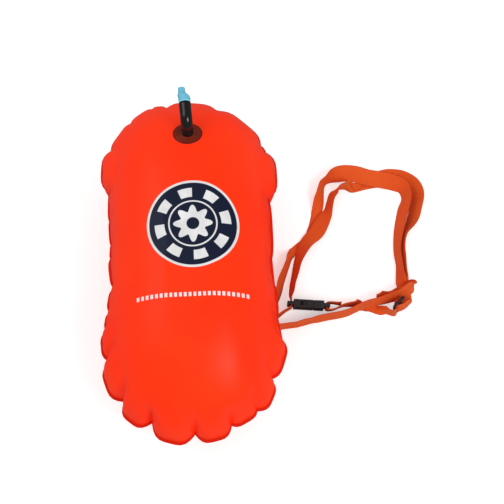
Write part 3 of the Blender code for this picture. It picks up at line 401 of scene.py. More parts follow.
FRONT_ROUTE = (
    (140.5, -35.6, 90, 5.3, 1), (140.4, -32.0, 90, 5.3, 1), (140.6, -26, 92, 4.6, 1),
    (141.6, -17, 106, 2.6, 1), (144.4, -2, 110, 0.4, 1), (148.6, 12, 114, 0, 1),
    (153.4, 30, 119, 0.6, 1), (161, 48, 133, 2, 1), (169.6, 63, 148, 2.6, 1), (184, 78, 163, 2.6, 1),
    (192.5, 92, 160, 2.6, 1), (200.4, 106, 140, 2.2, 1), (204.6, 114, 120, 0.6, 1),
    (209, 128, 116, 0, 1), (215, 140, 122, 0, 1), (222, 147, 98, 0, 1), (231, 149.5, 88, 0, 1),
    (238, 149.8, 66, 0, 0.9), (245, 149.4, 30, 0, 0.6), (253, 151.6, 9, 0, 0.58), (263, 155.4, 9, 0, 0.7),
    (275, 159, 14, 0, 0.85), (288, 161.5, 26, 0, 1), (300, 163, 38, 0, 1), (320, 159.5, 50, 0, 1),
    (336, 147.5, 50, 0, 1), (341, 130, 47, 0, 1), (335, 107, 47, 0, 1), (330.6, 94, 48, 0, 1),
    (325, 83, 56, 0, 1), (315.4, 71, 64, 0, 1), (310.4, 59, 68, 0, 1), (308.2, 44, 70, 0, 1),
    (308.2, 31, 70, 0, 1), (307.8, 13, 70, 0, 1), (307.4, 1, 62, 0.6, 0.95), (306.6, -8, 40, 1.7, 0.75),
    (305.4, -16, 12, 2.3, 0.5), (305.6, -24.5, 3, 2.4, 0.5), (307.7, -31.0, 0, 2.2, 0.5),
)
LEASH_ROUTE = (
    (48, -137, 0, 0, 1), (56, -127, 0, 0, 1), (70, -109, 0, 0, 1),
    (86, -90, 10, 0, 1), (99, -77, 38, 0, 1), (112, -69.6, 72, 0, 1), (124, -66.8, 85, 0, 1),
    (136, -65.5, 86, 0, 1), (146, -64.6, 86, 0, 1), (157, -61.9, 84, 0, 1), (168, -59.6, 86, 0, 1),
    (178, -57.6, 82, 0, 1), (194, -54.8, 82, 0, 1), (208, -53.0, 82, 0, 1), (221, -50.4, 82, 1.0, 1),
    (232, -46.2, 82, 2.2, 1), (245, -40.8, 82, 3.2, 1), (254, -38, 82, 3.4, 1),
)
LOOP_ROUTE = (
    (255.4, -37.7, 82, 3.4, 1), (264, -36.4, 80, 3.6, 1), (275, -34.4, 76, 4.4, 1),
    (287, -31.8, 72, 7.2, 1), (298, -29.0, 68, 9.2, 1), (309, -23.0, 62, 9.4, 1),
    (316.4, -17.6, 62, 8.4, 1), (320, -14.4, 80, 6.4, 0.9), (320.6, -11.6, 110, 4, 0.75),
    (317.8, -10.0, 145, 2, 0.6), (310, -13.0, 172, 0.2, 0.5), (300, -17.4, 180, 0, 0.5),
    (290, -22.6, 178, 0, 0.55), (281, -26.6, 150, 0, 0.75), (272.6, -29.4, 116, 0, 1),
    (264.6, -31.4, 104, 1, 1),
)
TAIL_ROUTE = (
    (283.4, -53.0, 90, 0.6, 1), (277.6, -49.8, 98, 0, 0.9), (271, -47.0, 140, 0, 0.6),
    (264, -43.8, 178, 0, 0.5),
)
PLUG_END_ROUTE = (
    (263.7, -43.65, 178, 0, 0.5), (255, -40.2, 178, 0, 0.5), (246, -38.4, 172, 0, 0.5),
    (239.6, -37.9, 130, 0, 0.7), (233.4, -37.7, 98, 0, 1),
    (231.6, -37.6, 92, 0.2, 1), (224, -38.2, 88, 1.2, 1), (216, -39.6, 84, 3, 1),
    (209, -42.2, 82, 4.6, 1), (204, -44.8, 80, 5.3, 1), (199, -46.2, 80, 5.3, 1),
    (194.5, -46.4, 80, 5.3, 1), (191.2, -45.2, 84, 5.3, 1), (189.7, -42.4, 90, 5.3, 1),
    (189.9, -39.0, 92, 5.3, 1), (191.8, -36.4, 97, 5.3, 1), (195.4, -35.4, 100, 5.3, 1),
    (201, -35.9, 100, 5.3, 1), (207, -36.9, 98, 5, 1), (212.6, -37.3, 95, 4.4, 1),
)
WEAVE_PATH = (
    (-11.8, 3.3), (-9.8, 3.3), (-8.1, 2.4), (-7.1, 0.6), (-6.6, -1.6), (-5.2, -3.6), (-2.8, -4.7),
    (0.0, -5.0), (2.8, -4.7), (5.2, -3.6), (6.6, -1.6), (7.1, 0.6), (8.1, 2.4), (9.8, 3.3), (11.8, 3.3),
)
END_LOOP_PATH = (
    (-11.8, 7.1), (-9.0, 6.9), (-5.0, 6.3), (-1.0, 5.0), (2.2, 3.4), (4.0, 1.5), (4.2, -0.6), (2.8, -2.4),
    (0.0, -3.0), (-2.8, -2.4), (-4.2, -0.6), (-4.4, 1.2), (-5.6, 3.2), (-7.8, 4.7), (-10.4, 5.2),
)
FLOOR_GAP = 0.15 * MM
ROUTE_STEPS = 8
print("rows of the belt's routes:", len(REAR_ROUTE + FRONT_ROUTE + TAIL_ROUTE + PLUG_END_ROUTE))


# %% [markdown]
# ## A smooth line and the direction of the strap
#
# A Catmull-Rom curve passes through all rows, and its slope at a row is that of the line from the
# row before to the row after. The direction across the strap comes from the lean: it turns from
# level to upright round the heading. Short bridges join a route to the strap in a buckle.


# %% Strand helpers
def smooth_rows(rows):
    """Points of a Catmull-Rom curve through rows of numbers."""
    table = np.array(rows, dtype=float)
    table = np.vstack((2 * table[0] - table[1], table, 2 * table[-1] - table[-2]))
    t = np.linspace(0, 1, ROUTE_STEPS, endpoint=False)[None, :, None]
    a, b, c, d = (table[shift : len(table) - 3 + shift, None, :] for shift in range(4))
    square, cube = 2 * a - 5 * b + 4 * c - d, 3 * b - a - 3 * c + d
    curve = (2 * b + (c - a) * t + square * t**2 + cube * t**3) / 2
    return np.vstack((curve.reshape(-1, table.shape[1]), table[-2]))


def route_strand(rows):
    """Centre line, half width vectors and width shares of a strap on a route. The centre is half the
    strap's own height above the floor, plus its lift."""
    table = smooth_rows(rows)
    plan = table[:, :2] * MM
    heading = unit_rows(np.gradient(plan, axis=0))
    lean = np.radians(table[:, 2])
    half = WEB_WIDTH / 2 * table[:, 4]
    across = np.column_stack((-heading[:, 1] * np.cos(lean), heading[:, 0] * np.cos(lean), np.sin(lean)))
    height = half * np.abs(np.sin(lean)) + WEB_THICKNESS / 2 * np.abs(np.cos(lean))
    height = height + table[:, 3] * MM + FLOOR_GAP
    return np.column_stack((plan, height)), across * half[:, None]


def bridge(start, end, steps, spread_power=1.0, turn_power=1.0):
    """A strap from one end to another: its line is a Hermite curve, and its width and direction pass
    from one to the other by powers of the same S curve."""
    (p0, d0, w0), (p1, d1, w1) = start, end
    reach = np.linalg.norm(p1 - p0)
    t = np.linspace(0, 1, steps + 1)[:, None]
    rise = 3 * t**2 - 2 * t**3
    line = (1 - rise) * p0 + (t**3 - 2 * t**2 + t) * d0 * reach + rise * p1 + (t**3 - t**2) * d1 * reach
    size = (1 - rise**spread_power) * np.linalg.norm(w0) + rise**spread_power * np.linalg.norm(w1)
    turned = (1 - rise**turn_power) * w0 + rise**turn_power * w1
    return line, unit_rows(turned) * size


def end_of(strand, at=-1, back_way=False, turned=False):
    """Point, heading and half width at an end of a strap. The heading or the width is reversed if
    asked."""
    line, half = strand
    heading = line[-1] - line[-2] if at == -1 else line[1] - line[0]
    heading = heading / np.linalg.norm(heading) * (-1.0 if back_way else 1.0)
    return line[at], heading, half[at] * (-1.0 if turned else 1.0)


def joined(*strands):
    """Strands one after another as one. A point that repeats is left out."""
    line = np.vstack([strand[0][: None if strand is strands[-1] else -1] for strand in strands])
    half = np.vstack([strand[1][: None if strand is strands[-1] else -1] for strand in strands])
    keep = np.append(True, np.linalg.norm(np.diff(line, axis=0), axis=1) > 1e-5)
    return line[keep], half[keep]


# %% [markdown]
# ## The strap's cross section
#
# Webbing has rounded selvedges and is 1.4 mm thick. Where a strap is folded lengthwise it turns back
# on itself like a hairpin, so the section is worked out along its own width: the first layer runs to
# the edge of what is left of the width, and the rest returns on top of it.

# %% Strap builder
SECTION_POINTS = 27
FOLD_RISE = 1.62 * MM
FOLD_STARTS = 4.0 * MM
HAIRPIN = 2.4 * MM
SELVEDGE_TAPER = (0.45, 0.92)


def strap(name, stands_for, strand):
    """A solid strap along a line. Its section follows the strap's own width q: level up to the fold
    and back after it, raised by one layer, with half the thickness to each side of that path."""
    line, half = strand
    count = len(line)
    chord = 2 * np.linalg.norm(half, axis=1)
    across = half / (chord / 2)[:, None]
    face = unit_rows(np.cross(unit_rows(np.gradient(line, axis=0)), across))
    q = np.linspace(0, WEB_WIDTH, SECTION_POINTS)[None, :] * np.ones((count, 1))
    folded = smoothstep((WEB_WIDTH - chord[:, None]) / FOLD_STARTS)
    past = q - chord[:, None]
    u = chord[:, None] / 2 - np.abs(past)
    rise = FOLD_RISE * folded * smoothstep((past + HAIRPIN / 2) / HAIRPIN)
    section = np.stack((u, rise), axis=-1)
    slope = np.gradient(section, axis=1)
    slope /= np.maximum(np.linalg.norm(slope, axis=2, keepdims=True), 1e-9)
    out = np.stack((-slope[..., 1], slope[..., 0]), axis=-1)
    taper = np.ones(SECTION_POINTS)
    taper[[0, -1]], taper[[1, -2]] = SELVEDGE_TAPER
    offset = out * WEB_THICKNESS / 2 * taper[None, :, None]
    ring = np.concatenate((section + offset, (section - offset)[:, ::-1]), axis=1)
    grid = line[:, None] + across[:, None] * ring[..., :1] + face[:, None] * ring[..., 1:]
    grid[..., 2] = np.maximum(grid[..., 2], FLOOR_GAP / 2)
    columns = grid.shape[1]
    faces = grid_quads(count, columns).tolist()
    side = np.arange(SECTION_POINTS - 1)
    cap = np.stack((side, side + 1, columns - 2 - side, columns - 1 - side), axis=1)
    faces += cap[:, ::-1].tolist() + (cap + (count - 1) * columns).tolist()
    mesh = bpy.data.meshes.new(name)
    mesh.from_pydata(grid.reshape(-1, 3).tolist(), [], faces)
    across_share = np.concatenate((q, q[:, ::-1]), axis=1) / WEB_WIDTH
    along_share = np.repeat(travel(line)[:, None] / WEB_WIDTH, columns, axis=1)
    place = np.stack((across_share, along_share), axis=-1)
    corner = np.zeros(len(mesh.loops), dtype=np.int32)
    mesh.loops.foreach_get("vertex_index", corner)
    layer = mesh.uv_layers.new(name="strap")
    layer.data.foreach_set("uv", place.reshape(-1, 2)[corner].astype(np.float32).ravel())
    faces_out(mesh)
    mesh.shade_smooth()
    mesh.set_sharp_from_angle(angle=math.radians(70.0))
    mesh.materials.append(webbing)
    piece = added(name, mesh)
    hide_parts(stands_for)
    print(name, round(length_of(line) * 1000), "mm long")
    return piece


# %% [markdown]
# ## The belt
#
# One strap makes the belt. Its end is looped round the adjuster's middle bar, it runs round to the
# socket half of the buckle and back, weaves through the adjuster and ends at the plug half. It is
# made here in six lengths, and the two that lie in the adjuster ride on it.

# %% Frame of the adjuster
ADJUSTER_CENTRE = Vector((295.8 * MM, -43.8 * MM, 16.0 * MM))
ADJUSTER_HEADING = math.radians(-137.0)
ADJUSTER_LEAN = math.radians(8.0)


def standing_frame(centre, heading, lean):
    """A frame that stands on edge: X along the heading, Z up and leaning to its right."""
    along = Vector((math.cos(heading), math.sin(heading), 0.0))
    out = Vector((-along.y, along.x, 0.0))
    up = Vector((0.0, 0.0, math.cos(lean))) - out * math.sin(lean)
    out = up.cross(along)
    return Matrix.Translation(centre) @ Matrix((along, out, up)).transposed().to_4x4()


adjuster_frame = standing_frame(ADJUSTER_CENTRE, ADJUSTER_HEADING, ADJUSTER_LEAN)
print("adjuster at", [round(value / MM, 1) for value in ADJUSTER_CENTRE], "mm")


def adjuster_strand(path):
    """A strap through the adjuster, on a path of distances along it and out of it."""
    flat = smooth_rows(path) * MM
    turn = np.array(adjuster_frame.to_3x3())
    places = np.column_stack((flat, np.zeros(len(flat))))
    line = places @ turn.T + np.array(adjuster_frame.translation)
    return line, np.tile(turn[:, 2] * WEB_WIDTH / 2, (len(line), 1))


# %% Make the belt
weave_strand = adjuster_strand(WEAVE_PATH)
loop_strand = adjuster_strand(END_LOOP_PATH)
rear_strand = route_strand(REAR_ROUTE)
front_strand = route_strand(FRONT_ROUTE)
tail_strand = route_strand(TAIL_ROUTE)
rear_lead = bridge(
    end_of(loop_strand, 0, back_way=True, turned=True), end_of(rear_strand, 0), 30,
    spread_power=0.4, turn_power=2.6,
)
front_lead = bridge(
    end_of(front_strand), end_of(weave_strand, 0, turned=True), 30,
    spread_power=2.5, turn_power=0.6,
)
tail_lead = bridge(end_of(weave_strand), end_of(tail_strand, 0), 20)
rear_strand = joined(rear_lead, rear_strand)
front_strand = joined(front_strand, front_lead)
tail_strand = joined(tail_lead, tail_strand)
plug_end_strand = route_strand(TAIL_ROUTE[-1:] + PLUG_END_ROUTE)

belt_rear = strap("belt_rear", "belt_rear_run", rear_strand)
belt_front = strap("belt_front", "belt_front_run", front_strand)
belt_weave = strap("belt_through_adjuster", "belt_weave", weave_strand)
belt_end = strap("belt_end_round_bar", "belt_end_loop", loop_strand)
belt_tail = strap("belt_to_buckle", "belt_tail", tail_strand)
belt_plug_end = strap("belt_round_plug_bar", "belt_tail_fold", plug_end_strand)

# %% [markdown]
# ## The float: an inflated envelope
#
# The real one is two sheets of film welded round their edge. Blown up, the middle rises to a smooth
# pillow while the welded edge is too long for its new outline and puckers into lobes. The outline
# here passes through measured notches with a full lobe between each two. Over each ring from the
# middle to the edge, the surface changes from a smooth rounded rectangle to that lobed outline.
#
# Each row of the notches is a place as shares of the half width and the half length, and how far
# the lobe that follows it bulges, as a share of the chord between the two notches.

# %% Outline of the float
HALF_WIDTH = 126.5 * MM
HALF_LENGTH = 252.0 * MM
SEAM_HEIGHT = 102.5 * MM
LOBE_COLUMNS = 12
NOTCHES = np.array((
    (0.372, 0.933, 0.15), (0.838, 0.712, 0.10), (0.891, 0.670, 0.19), (0.895, 0.382, 0.035),
    (0.895, 0.022, 0.0), (0.908, -0.129, 0.05), (0.921, -0.313, 0.0), (0.960, -0.444, 0.20),
    (0.809, -0.658, 0.28), (0.650, -0.827, 0.16), (0.376, -0.898, 0.30), (-0.011, -0.936, 0.33),
    (-0.459, -0.865, 0.36), (-0.750, -0.743, 0.28), (-0.901, -0.521, 0.23), (-0.930, -0.349, 0.19),
    (-0.899, -0.248, 0.15), (-0.855, -0.110, 0.09), (-0.891, 0.064, 0.05), (-0.885, 0.142, 0.04),
    (-0.900, 0.285, 0.045), (-0.896, 0.460, 0.20), (-0.874, 0.721, 0.10), (-0.654, 0.881, 0.10),
    (-0.398, 0.968, 0.17), (-0.231, 0.969, 0.145),
))


def lobed_outline():
    """Points round the puckered edge: from each notch to the next, the chord plus a full lobe,
    bulge x chord x (1 - |2t - 1|^4), so that the lobes are blunt and the notches are slits."""
    start = NOTCHES[:, :2] * (HALF_WIDTH, HALF_LENGTH)
    chord = np.roll(start, -1, axis=0) - start
    outward = np.column_stack((-chord[:, 1], chord[:, 0]))
    t = (1 - np.cos(np.linspace(0, np.pi, LOBE_COLUMNS, endpoint=False))) / 2
    bulge = NOTCHES[:, 2:] * (1 - np.abs(2 * t - 1) ** 4)
    points = start[:, None] + chord[:, None] * t[:, None] + outward[:, None] * bulge[..., None]
    return points.reshape(-1, 2), np.tile(t, len(NOTCHES))


outline, lobe_place = lobed_outline()
print(len(NOTCHES), "lobes,", len(outline), "points round the edge")


# %% [markdown]
# ## The rise of the pillow
#
# The height over the seam is (1 - s^p)^r at a share s of the way out. The ends are blunter than the
# sides, so both powers change with the direction. The back is the same but flat in the middle, where
# it rests. Between the lobes a crease runs in from each notch and dies away.
#
# The points of the outline bunch up at the notches, and some even step back there. Rings that kept
# those directions would fold over themselves in the middle of the film, so the directions are
# evened first: only their slow waves round the float are kept.

# %% The envelope
RINGS = 48
SMOOTH_HALF_WIDTH = 118.0 * MM
SMOOTH_HALF_LENGTH = 243.0 * MM
RECTANGLE_POWER = 3.2
SIDE_POWER, END_POWER_MORE = 2.0, 1.4
SIDE_ROOT, END_ROOT_MORE = 0.5, 0.1
LOBES_FROM = 0.86
REST_TO = 0.25
CREASE_DEPTH = 1.5 * MM
CREASE_WIDTH = 0.10
CREASE_FROM, CREASE_FULL = 0.90, 0.98
WELD_WIDTH = 4.0 * MM
WELD_HALF = 0.6 * MM
WELD_WAVE = 0.5 * MM


def rise_share(share, direction):
    """Height as a share of the rise, (1 - s^p)^r, with p and r larger towards the ends."""
    x, y = direction[:, 0] / HALF_WIDTH, direction[:, 1] / HALF_LENGTH
    to_end = (y * y / (x * x + y * y))[None, :]
    power = SIDE_POWER + END_POWER_MORE * to_end
    return (1 - share[:, None] ** power) ** (SIDE_ROOT + END_ROOT_MORE * to_end)


def even_directions(points):
    """Directions to points round the middle, evened: the angle is a steady turn plus waves, and of
    the waves only those at least two lobes long are kept."""
    turn = np.unwrap(np.arctan2(points[:, 1], points[:, 0]))
    steady = np.sign(turn[-1] - turn[0]) * np.arange(len(turn)) * 2 * np.pi / len(turn)
    waves = np.fft.rfft(turn - steady)
    waves[len(NOTCHES) // 2 + 1 :] = 0.0
    even = np.fft.irfft(waves, len(turn)) + steady
    return np.column_stack((np.cos(even), np.sin(even)))


def half_envelope(side):
    """Rings of one panel from its middle to the weld. side is 1 for the front and -1 for the back.
    The plan is a superellipse, |x|^p + |y|^p = 1, that turns into the lobed outline."""
    share = np.sin(np.linspace(0, np.pi / 2, RINGS + 1))[1:-1]
    direction = even_directions(outline)
    x, y = np.abs(direction).T / np.array((SMOOTH_HALF_WIDTH, SMOOTH_HALF_LENGTH))[:, None]
    smooth = direction / ((x**RECTANGLE_POWER + y**RECTANGLE_POWER) ** (1 / RECTANGLE_POWER))[:, None]
    inner = outline * (1 - WELD_WIDTH / np.linalg.norm(outline, axis=1))[:, None]
    lobed = smoothstep((share - LOBES_FROM) / (1 - LOBES_FROM))[:, None, None]
    spot = share[:, None, None] * ((1 - lobed) * smooth + lobed * inner)
    level = share if side > 0 else np.clip((share - REST_TO) / (1 - REST_TO), 0.0, 1.0)
    height = (SEAM_HEIGHT - WELD_HALF) * rise_share(level, direction)
    crease = np.exp(-((np.minimum(lobe_place, 1 - lobe_place) / CREASE_WIDTH) ** 2))[None, :]
    near_weld = smoothstep((share - CREASE_FROM) / (CREASE_FULL - CREASE_FROM))[:, None]
    height = height - CREASE_DEPTH * crease * near_weld * (1 - share[:, None] ** 24)
    surface = SEAM_HEIGHT + side * (WELD_HALF + height)
    return np.dstack((spot, surface[..., None])), inner


def level_ring(plan, height):
    """A ring of points at one height, or at a height for each."""
    return np.column_stack((plan, np.broadcast_to(height, len(plan))))[None]


front_rings, weld_inner = half_envelope(1)
back_rings, _ = half_envelope(-1)
weld_lift = WELD_WAVE * np.sin(2 * np.pi * lobe_place)
envelope = np.concatenate((
    front_rings,
    level_ring(weld_inner, SEAM_HEIGHT + WELD_HALF),
    level_ring(outline, SEAM_HEIGHT + WELD_HALF * 0.8 + weld_lift),
    level_ring(outline, SEAM_HEIGHT - WELD_HALF * 0.8 + weld_lift),
    level_ring(weld_inner, SEAM_HEIGHT - WELD_HALF),
    back_rings[::-1],
))
film_float = closed_surface("float_envelope", envelope, 180.0)
print("envelope of", envelope.shape[0], "rings by", envelope.shape[1], "points")

# %% [markdown]
# ## Blowing it up
#
# A real float is tight because of the air in it. The Cloth modifier with pressure gives the film
# that look: the weld is pinned, the cloth is a little too large, and the pressure pushes it out
# between the creases. Points may only move a few millimetres, so the size stays that of the CAD.
# By itself the cloth also wrinkled the middle of the film, so its movement is evened out there.

# %% Pressure
MOST_MOVE = 4.0 * MM
SIM_FRAMES = 14
EVEN_PASSES = 60
EVEN_WAVES = 5
EVEN_FROM, EVEN_OVER = 12.0 * MM, 22.0 * MM
WELD_HELD = 2.5 * MM
BASE_HELD = 0.5 * MM
CLOTH_SETTINGS = {
    "quality": 4, "mass": 0.1, "tension_stiffness": 40.0, "compression_stiffness": 40.0,
    "shear_stiffness": 20.0, "bending_stiffness": 4.0, "use_pressure": True,
    "uniform_pressure_force": 3.0, "shrink_min": -0.008, "vertex_group_mass": "held",
}


def taut(shift, rest):
    """Even out how far the points moved, all but near the weld: away from its creases the film is
    taut. Each pass takes the mean of the four neighbours on the grid. Last, each ring's movement
    becomes a short sum of waves round the float, the closest one by least squares."""
    rows, columns = envelope.shape[:2]
    on_grid = rows * columns
    spot = rest[:on_grid].reshape(rows, columns, 3)
    field = shift[:on_grid].reshape(rows, columns, 3).copy()
    height = np.abs(rest[:on_grid, 2].reshape(rows, columns) - SEAM_HEIGHT)
    share = smoothstep((height - EVEN_FROM) / EVEN_OVER)[..., None]
    for _ in range(EVEN_PASSES):
        mean = (np.roll(field, 1, axis=1) + np.roll(field, -1, axis=1)) / 4
        mean[1:-1] += (field[:-2] + field[2:]) / 4
        mean[[0, -1]] += field[[1, -2]] / 2
        field += share * (mean - field)
    angle = np.arctan2(spot[..., 1], spot[..., 0])[..., None] * np.arange(1, EVEN_WAVES + 1)
    basis = np.concatenate((np.ones((rows, columns, 1)), np.cos(angle), np.sin(angle)), axis=2)
    field += share * (basis @ (np.linalg.pinv(basis) @ field) - field)
    shift[:on_grid] = field.reshape(-1, 3)
    shift[on_grid] = field[0].mean(axis=0)
    shift[on_grid + 1] = field[-1].mean(axis=0)
    return shift


def blow_up(piece):
    """Push the film out with pressure, keep the weld and the base, and cap how far each point moves:
    a distance d becomes most x tanh(d / most)."""
    mesh = piece.data
    rest = np.zeros(len(mesh.vertices) * 3, dtype=np.float32)
    mesh.vertices.foreach_get("co", rest)
    rest = rest.reshape(-1, 3)
    held = np.abs(rest[:, 2] - SEAM_HEIGHT) < WELD_HELD
    held |= rest[:, 2] < BASE_HELD
    group = piece.vertex_groups.new(name="held")
    group.add(np.flatnonzero(held).tolist(), 1.0, "REPLACE")
    cloth = piece.modifiers.new("Pressure", "CLOTH")
    for key, value in CLOTH_SETTINGS.items():
        setattr(cloth.settings, key, value)
    cloth.settings.effector_weights.gravity = 0.0
    cloth.collision_settings.use_collision = False
    for number in range(1, SIM_FRAMES + 1):
        scene.frame_set(number)
    moved = np.zeros(len(rest) * 3, dtype=np.float32)
    evaluated = piece.evaluated_get(bpy.context.evaluated_depsgraph_get())
    evaluated.data.vertices.foreach_get("co", moved)
    shift = moved.reshape(-1, 3) - rest
    size = np.linalg.norm(shift, axis=1)
    size[~np.isfinite(size)] = 0.0
    shift[~np.isfinite(shift).all(axis=1)] = 0.0
    limit = MOST_MOVE * np.tanh(size / MOST_MOVE)
    shift *= (limit / np.maximum(size, 1e-9))[:, None]
    shift = taut(shift, rest)
    piece.modifiers.remove(cloth)
    piece.vertex_groups.clear()
    scene.frame_set(1)
    final = rest + shift
    final[:, 2] = np.clip(final[:, 2], 0.0, 2 * SEAM_HEIGHT)
    mesh.vertices.foreach_set("co", final.ravel())
    mesh.update()
    most, average = float(limit.max()) / MM, float(limit.mean()) / MM
    print("film pushed by up to", round(most, 1), "mm, on average", round(average, 2))


blow_up(film_float)

film_mesh = film_float.data
film_tree = BVHTree.FromPolygons(
    [vert.co for vert in film_mesh.vertices], [face.vertices for face in film_mesh.polygons]
)
declare(film_float, "float", "float_film", "front_panel", "back_panel")
print("film has", len(film_mesh.polygons), "faces")

# %% [markdown]
# ## The film's finish
#
# Fluorescent orange-red film with a soft gloss. Its tone drifts a little from place to place. Painted
# shade makes it deeper low down, on the underside, and darker on the weld, which is partly the tone of
# two layers that lie flat and partly painted shade at the edge. A painted glow lifts the bare film. A
# generic round print in navy and white sits on the front with a dashed line under it. The print is
# worked out from the distance and the angle to its middle, seen from above, and only shows on the upper
# part of the film.

# %% Film finish
FILM_TONES = (0.99, 0.028, 0.0008), (1.0, 0.036, 0.0012)
# The weld's darker tone is partly two layers of film and partly painted shade at the edge
WELD_TONE_AND_SHADE = (0.62, 0.009, 0.002)
# Painted shade for the underside, deeper towards the floor
UNDERSIDE_SHADE = (0.75, 0.018, 0.003)

# The Emission Strength is a painted glow on the bare film
film, film_shader = new_finish("film_orange", (1.0, 0.040, 0.0045), 0.38, (
    ("Specular IOR Level", 0.15), ("Emission Strength", 0.13),
))
where, place = place_on(film)
cloud = noise(film, where, 9.0, 2.0)
grain = noise(film, where, 1400.0, 2.0, 0.5)
tint = mixed(film, between_values(film, cloud, 0.35, 0.65), *FILM_TONES)
near_seam = between_values(film, distance_from(film, place[2], SEAM_HEIGHT), 3.0 * MM, 1.0 * MM)
# Darker weld band: partly the tone of two welded layers, partly painted shade at the edge
tint = mixed(film, times(film, near_seam, 0.85), tint, WELD_TONE_AND_SHADE)
# Painted shade: the film gets darker below the weld, towards the floor
tint = mixed(film, between_values(film, place[2], 0.10, 0.0, 0.0, 0.35), tint, UNDERSIDE_SHADE)
join(film, between_values(film, cloud, 0.3, 0.7, 0.35, 0.42), film_shader.inputs["Roughness"])
print("film finish with its weld band")

# %% The print's masks
PRINT_X, PRINT_Y = 8.0 * MM, 24.0 * MM
PRINT_RADIUS = 61.0 * MM
RIM_INSIDE = 57.8 * MM
BLOCK_RING = 37.5 * MM, 50.5 * MM
LINE_RING = 30.5 * MM, 32.5 * MM
PETAL_RING = 8.5 * MM, 30.0 * MM
PETALS = 8.0
PETAL_REACH, PETAL_DEPTH = 21.5 * MM, 4.5 * MM
DASHES_X, DASHES_Y = 4.65 * MM, -73.5 * MM
DASH_PITCH = 6.2 * MM
PRINT_FROM_HEIGHT = 120.0 * MM
INK_SOFT = 0.25 * MM
NAVY_INK = (0.0080, 0.0125, 0.035)
WHITE_INK = (0.86, 0.86, 0.86)
PAINTED_GLOW = (1.0, 0.018, 0.0)


def ring_mask(low, high):
    """1 between two radii of the print, with soft edges."""
    inside = between_values(film, radius, low - INK_SOFT, low + INK_SOFT)
    outside = between_values(film, radius, high + INK_SOFT, high - INK_SOFT)
    return times(film, inside, outside)


dx = sum_of(film, "SUBTRACT", place[0], PRINT_X)
dy = sum_of(film, "SUBTRACT", place[1], PRINT_Y)
radius = sum_of(film, "SQRT", sum_of(film, "ADD", times(film, dx, dx), times(film, dy, dy)))
round_turn = times(film, sum_of(film, "ARCTAN2", dy, dx), PETALS)
spokes = between_values(film, sum_of(film, "SINE", round_turn), -0.04, 0.04)
blocks = times(film, ring_mask(*BLOCK_RING), spokes)
petal_edge = sum_of(film, "MULTIPLY_ADD", sum_of(film, "COSINE", round_turn), PETAL_DEPTH, PETAL_REACH)
star = between_values(film, sum_of(film, "SUBTRACT", radius, petal_edge), 0.3 * MM, -0.3 * MM)
petals = times(film, star, ring_mask(*PETAL_RING))
dash_wave = sum_of(film, "SINE", times(film, place[0], 2 * math.pi / DASH_PITCH))
dash = between_values(film, dash_wave, -0.30, -0.22)
bar_y = between_values(film, distance_from(film, place[1], DASHES_Y), 3.0 * MM, 2.6 * MM)
bar_x = between_values(film, distance_from(film, place[0], DASHES_X), 74.5 * MM, 74.3 * MM)
dashes = times(film, times(film, bar_y, bar_x), dash)
on_top = between_values(film, place[2], PRINT_FROM_HEIGHT, PRINT_FROM_HEIGHT + 5.0 * MM)
white_mask = larger(
    film, ring_mask(RIM_INSIDE, PRINT_RADIUS), blocks, ring_mask(*LINE_RING), petals, dashes
)
white_mask = times(film, white_mask, on_top)
navy_disc = between_values(film, radius, PRINT_RADIUS, PRINT_RADIUS - 0.5 * MM)
navy_mask = times(film, navy_disc, on_top)
print("print of radius", round(PRINT_RADIUS * 1000), "mm")

# %% Ink on the film
ink_wear = between_values(film, noise(film, where, 60.0, 4.0, 0.6), 0.25, 0.75, 0.75, 1.0)
tint = mixed(film, navy_mask, tint, NAVY_INK)
tint = mixed(film, times(film, white_mask, ink_wear), tint, WHITE_INK)
join(film, tint, film_shader.inputs["Base Color"])
# Painted glow: the bare film emits a little orange-red light of its own, in its shade too, standing in
# for the light that fluorescent dye gives back
painted_glow = mixed(film, larger(film, navy_mask, white_mask), PAINTED_GLOW, (0.0, 0.0, 0.0))
join(film, painted_glow, film_shader.inputs["Emission Color"])
ink_edge = sum_of(film, "MULTIPLY_ADD", navy_mask, 0.6, times(film, grain, 0.05))
raised(film, film_shader, ink_edge, 0.25, 0.0002)
dress(film_float, film)
print("film dressed in", film.name)

# %% [markdown]
# ## Floor and light
#
# A plain white floor, lit softly from all round, as for a catalogue. The world gives most of the
# light and two lamps give the float its shape. A camera ray that meets the world sees plain white,
# and a mirrored ray sees it dim, as black drapes round the set would look. The floor glows a little
# to the camera, so that it is white while it still takes the float's shadow.

# %% Floor, world and lamps
FLOOR_HALF = 40.0
FLOOR_DROP = 0.05 * MM
FLOOR_TONE, FLOOR_MIRRORED = (0.80, 0.80, 0.80), (0.22, 0.22, 0.22)
FLOOR_GLOW = 0.46
WORLD_LIGHT, WORLD_MIRRORED = 0.62, 0.16
LAMPS_AIM = (0.05, 0.0, 0.1)

floor_mesh = bpy.data.meshes.new("floor")
floor_mesh.from_pydata([
    (x * FLOOR_HALF, y * FLOOR_HALF, -FLOOR_DROP) for x, y in ((-1, -1), (1, -1), (1, 1), (-1, 1))
], [], [(0, 1, 2, 3)])
floor = added("floor", floor_mesh)
floor_finish, floor_shader = new_finish("floor_white", FLOOR_TONE, 0.9, (
    ("Specular IOR Level", 0.0), ("Emission Color", (1.0, 1.0, 1.0)),
))
rays = node(floor_finish, "ShaderNodeLightPath").outputs
floor_tone = mixed(floor_finish, rays["Is Glossy Ray"], FLOOR_TONE, FLOOR_MIRRORED)
join(floor_finish, floor_tone, floor_shader.inputs["Base Color"])
floor_glow = between_values(floor_finish, rays["Is Camera Ray"], 0.0, 1.0, 0.0, FLOOR_GLOW)
join(floor_finish, floor_glow, floor_shader.inputs["Emission Strength"])
dress(floor, floor_finish)

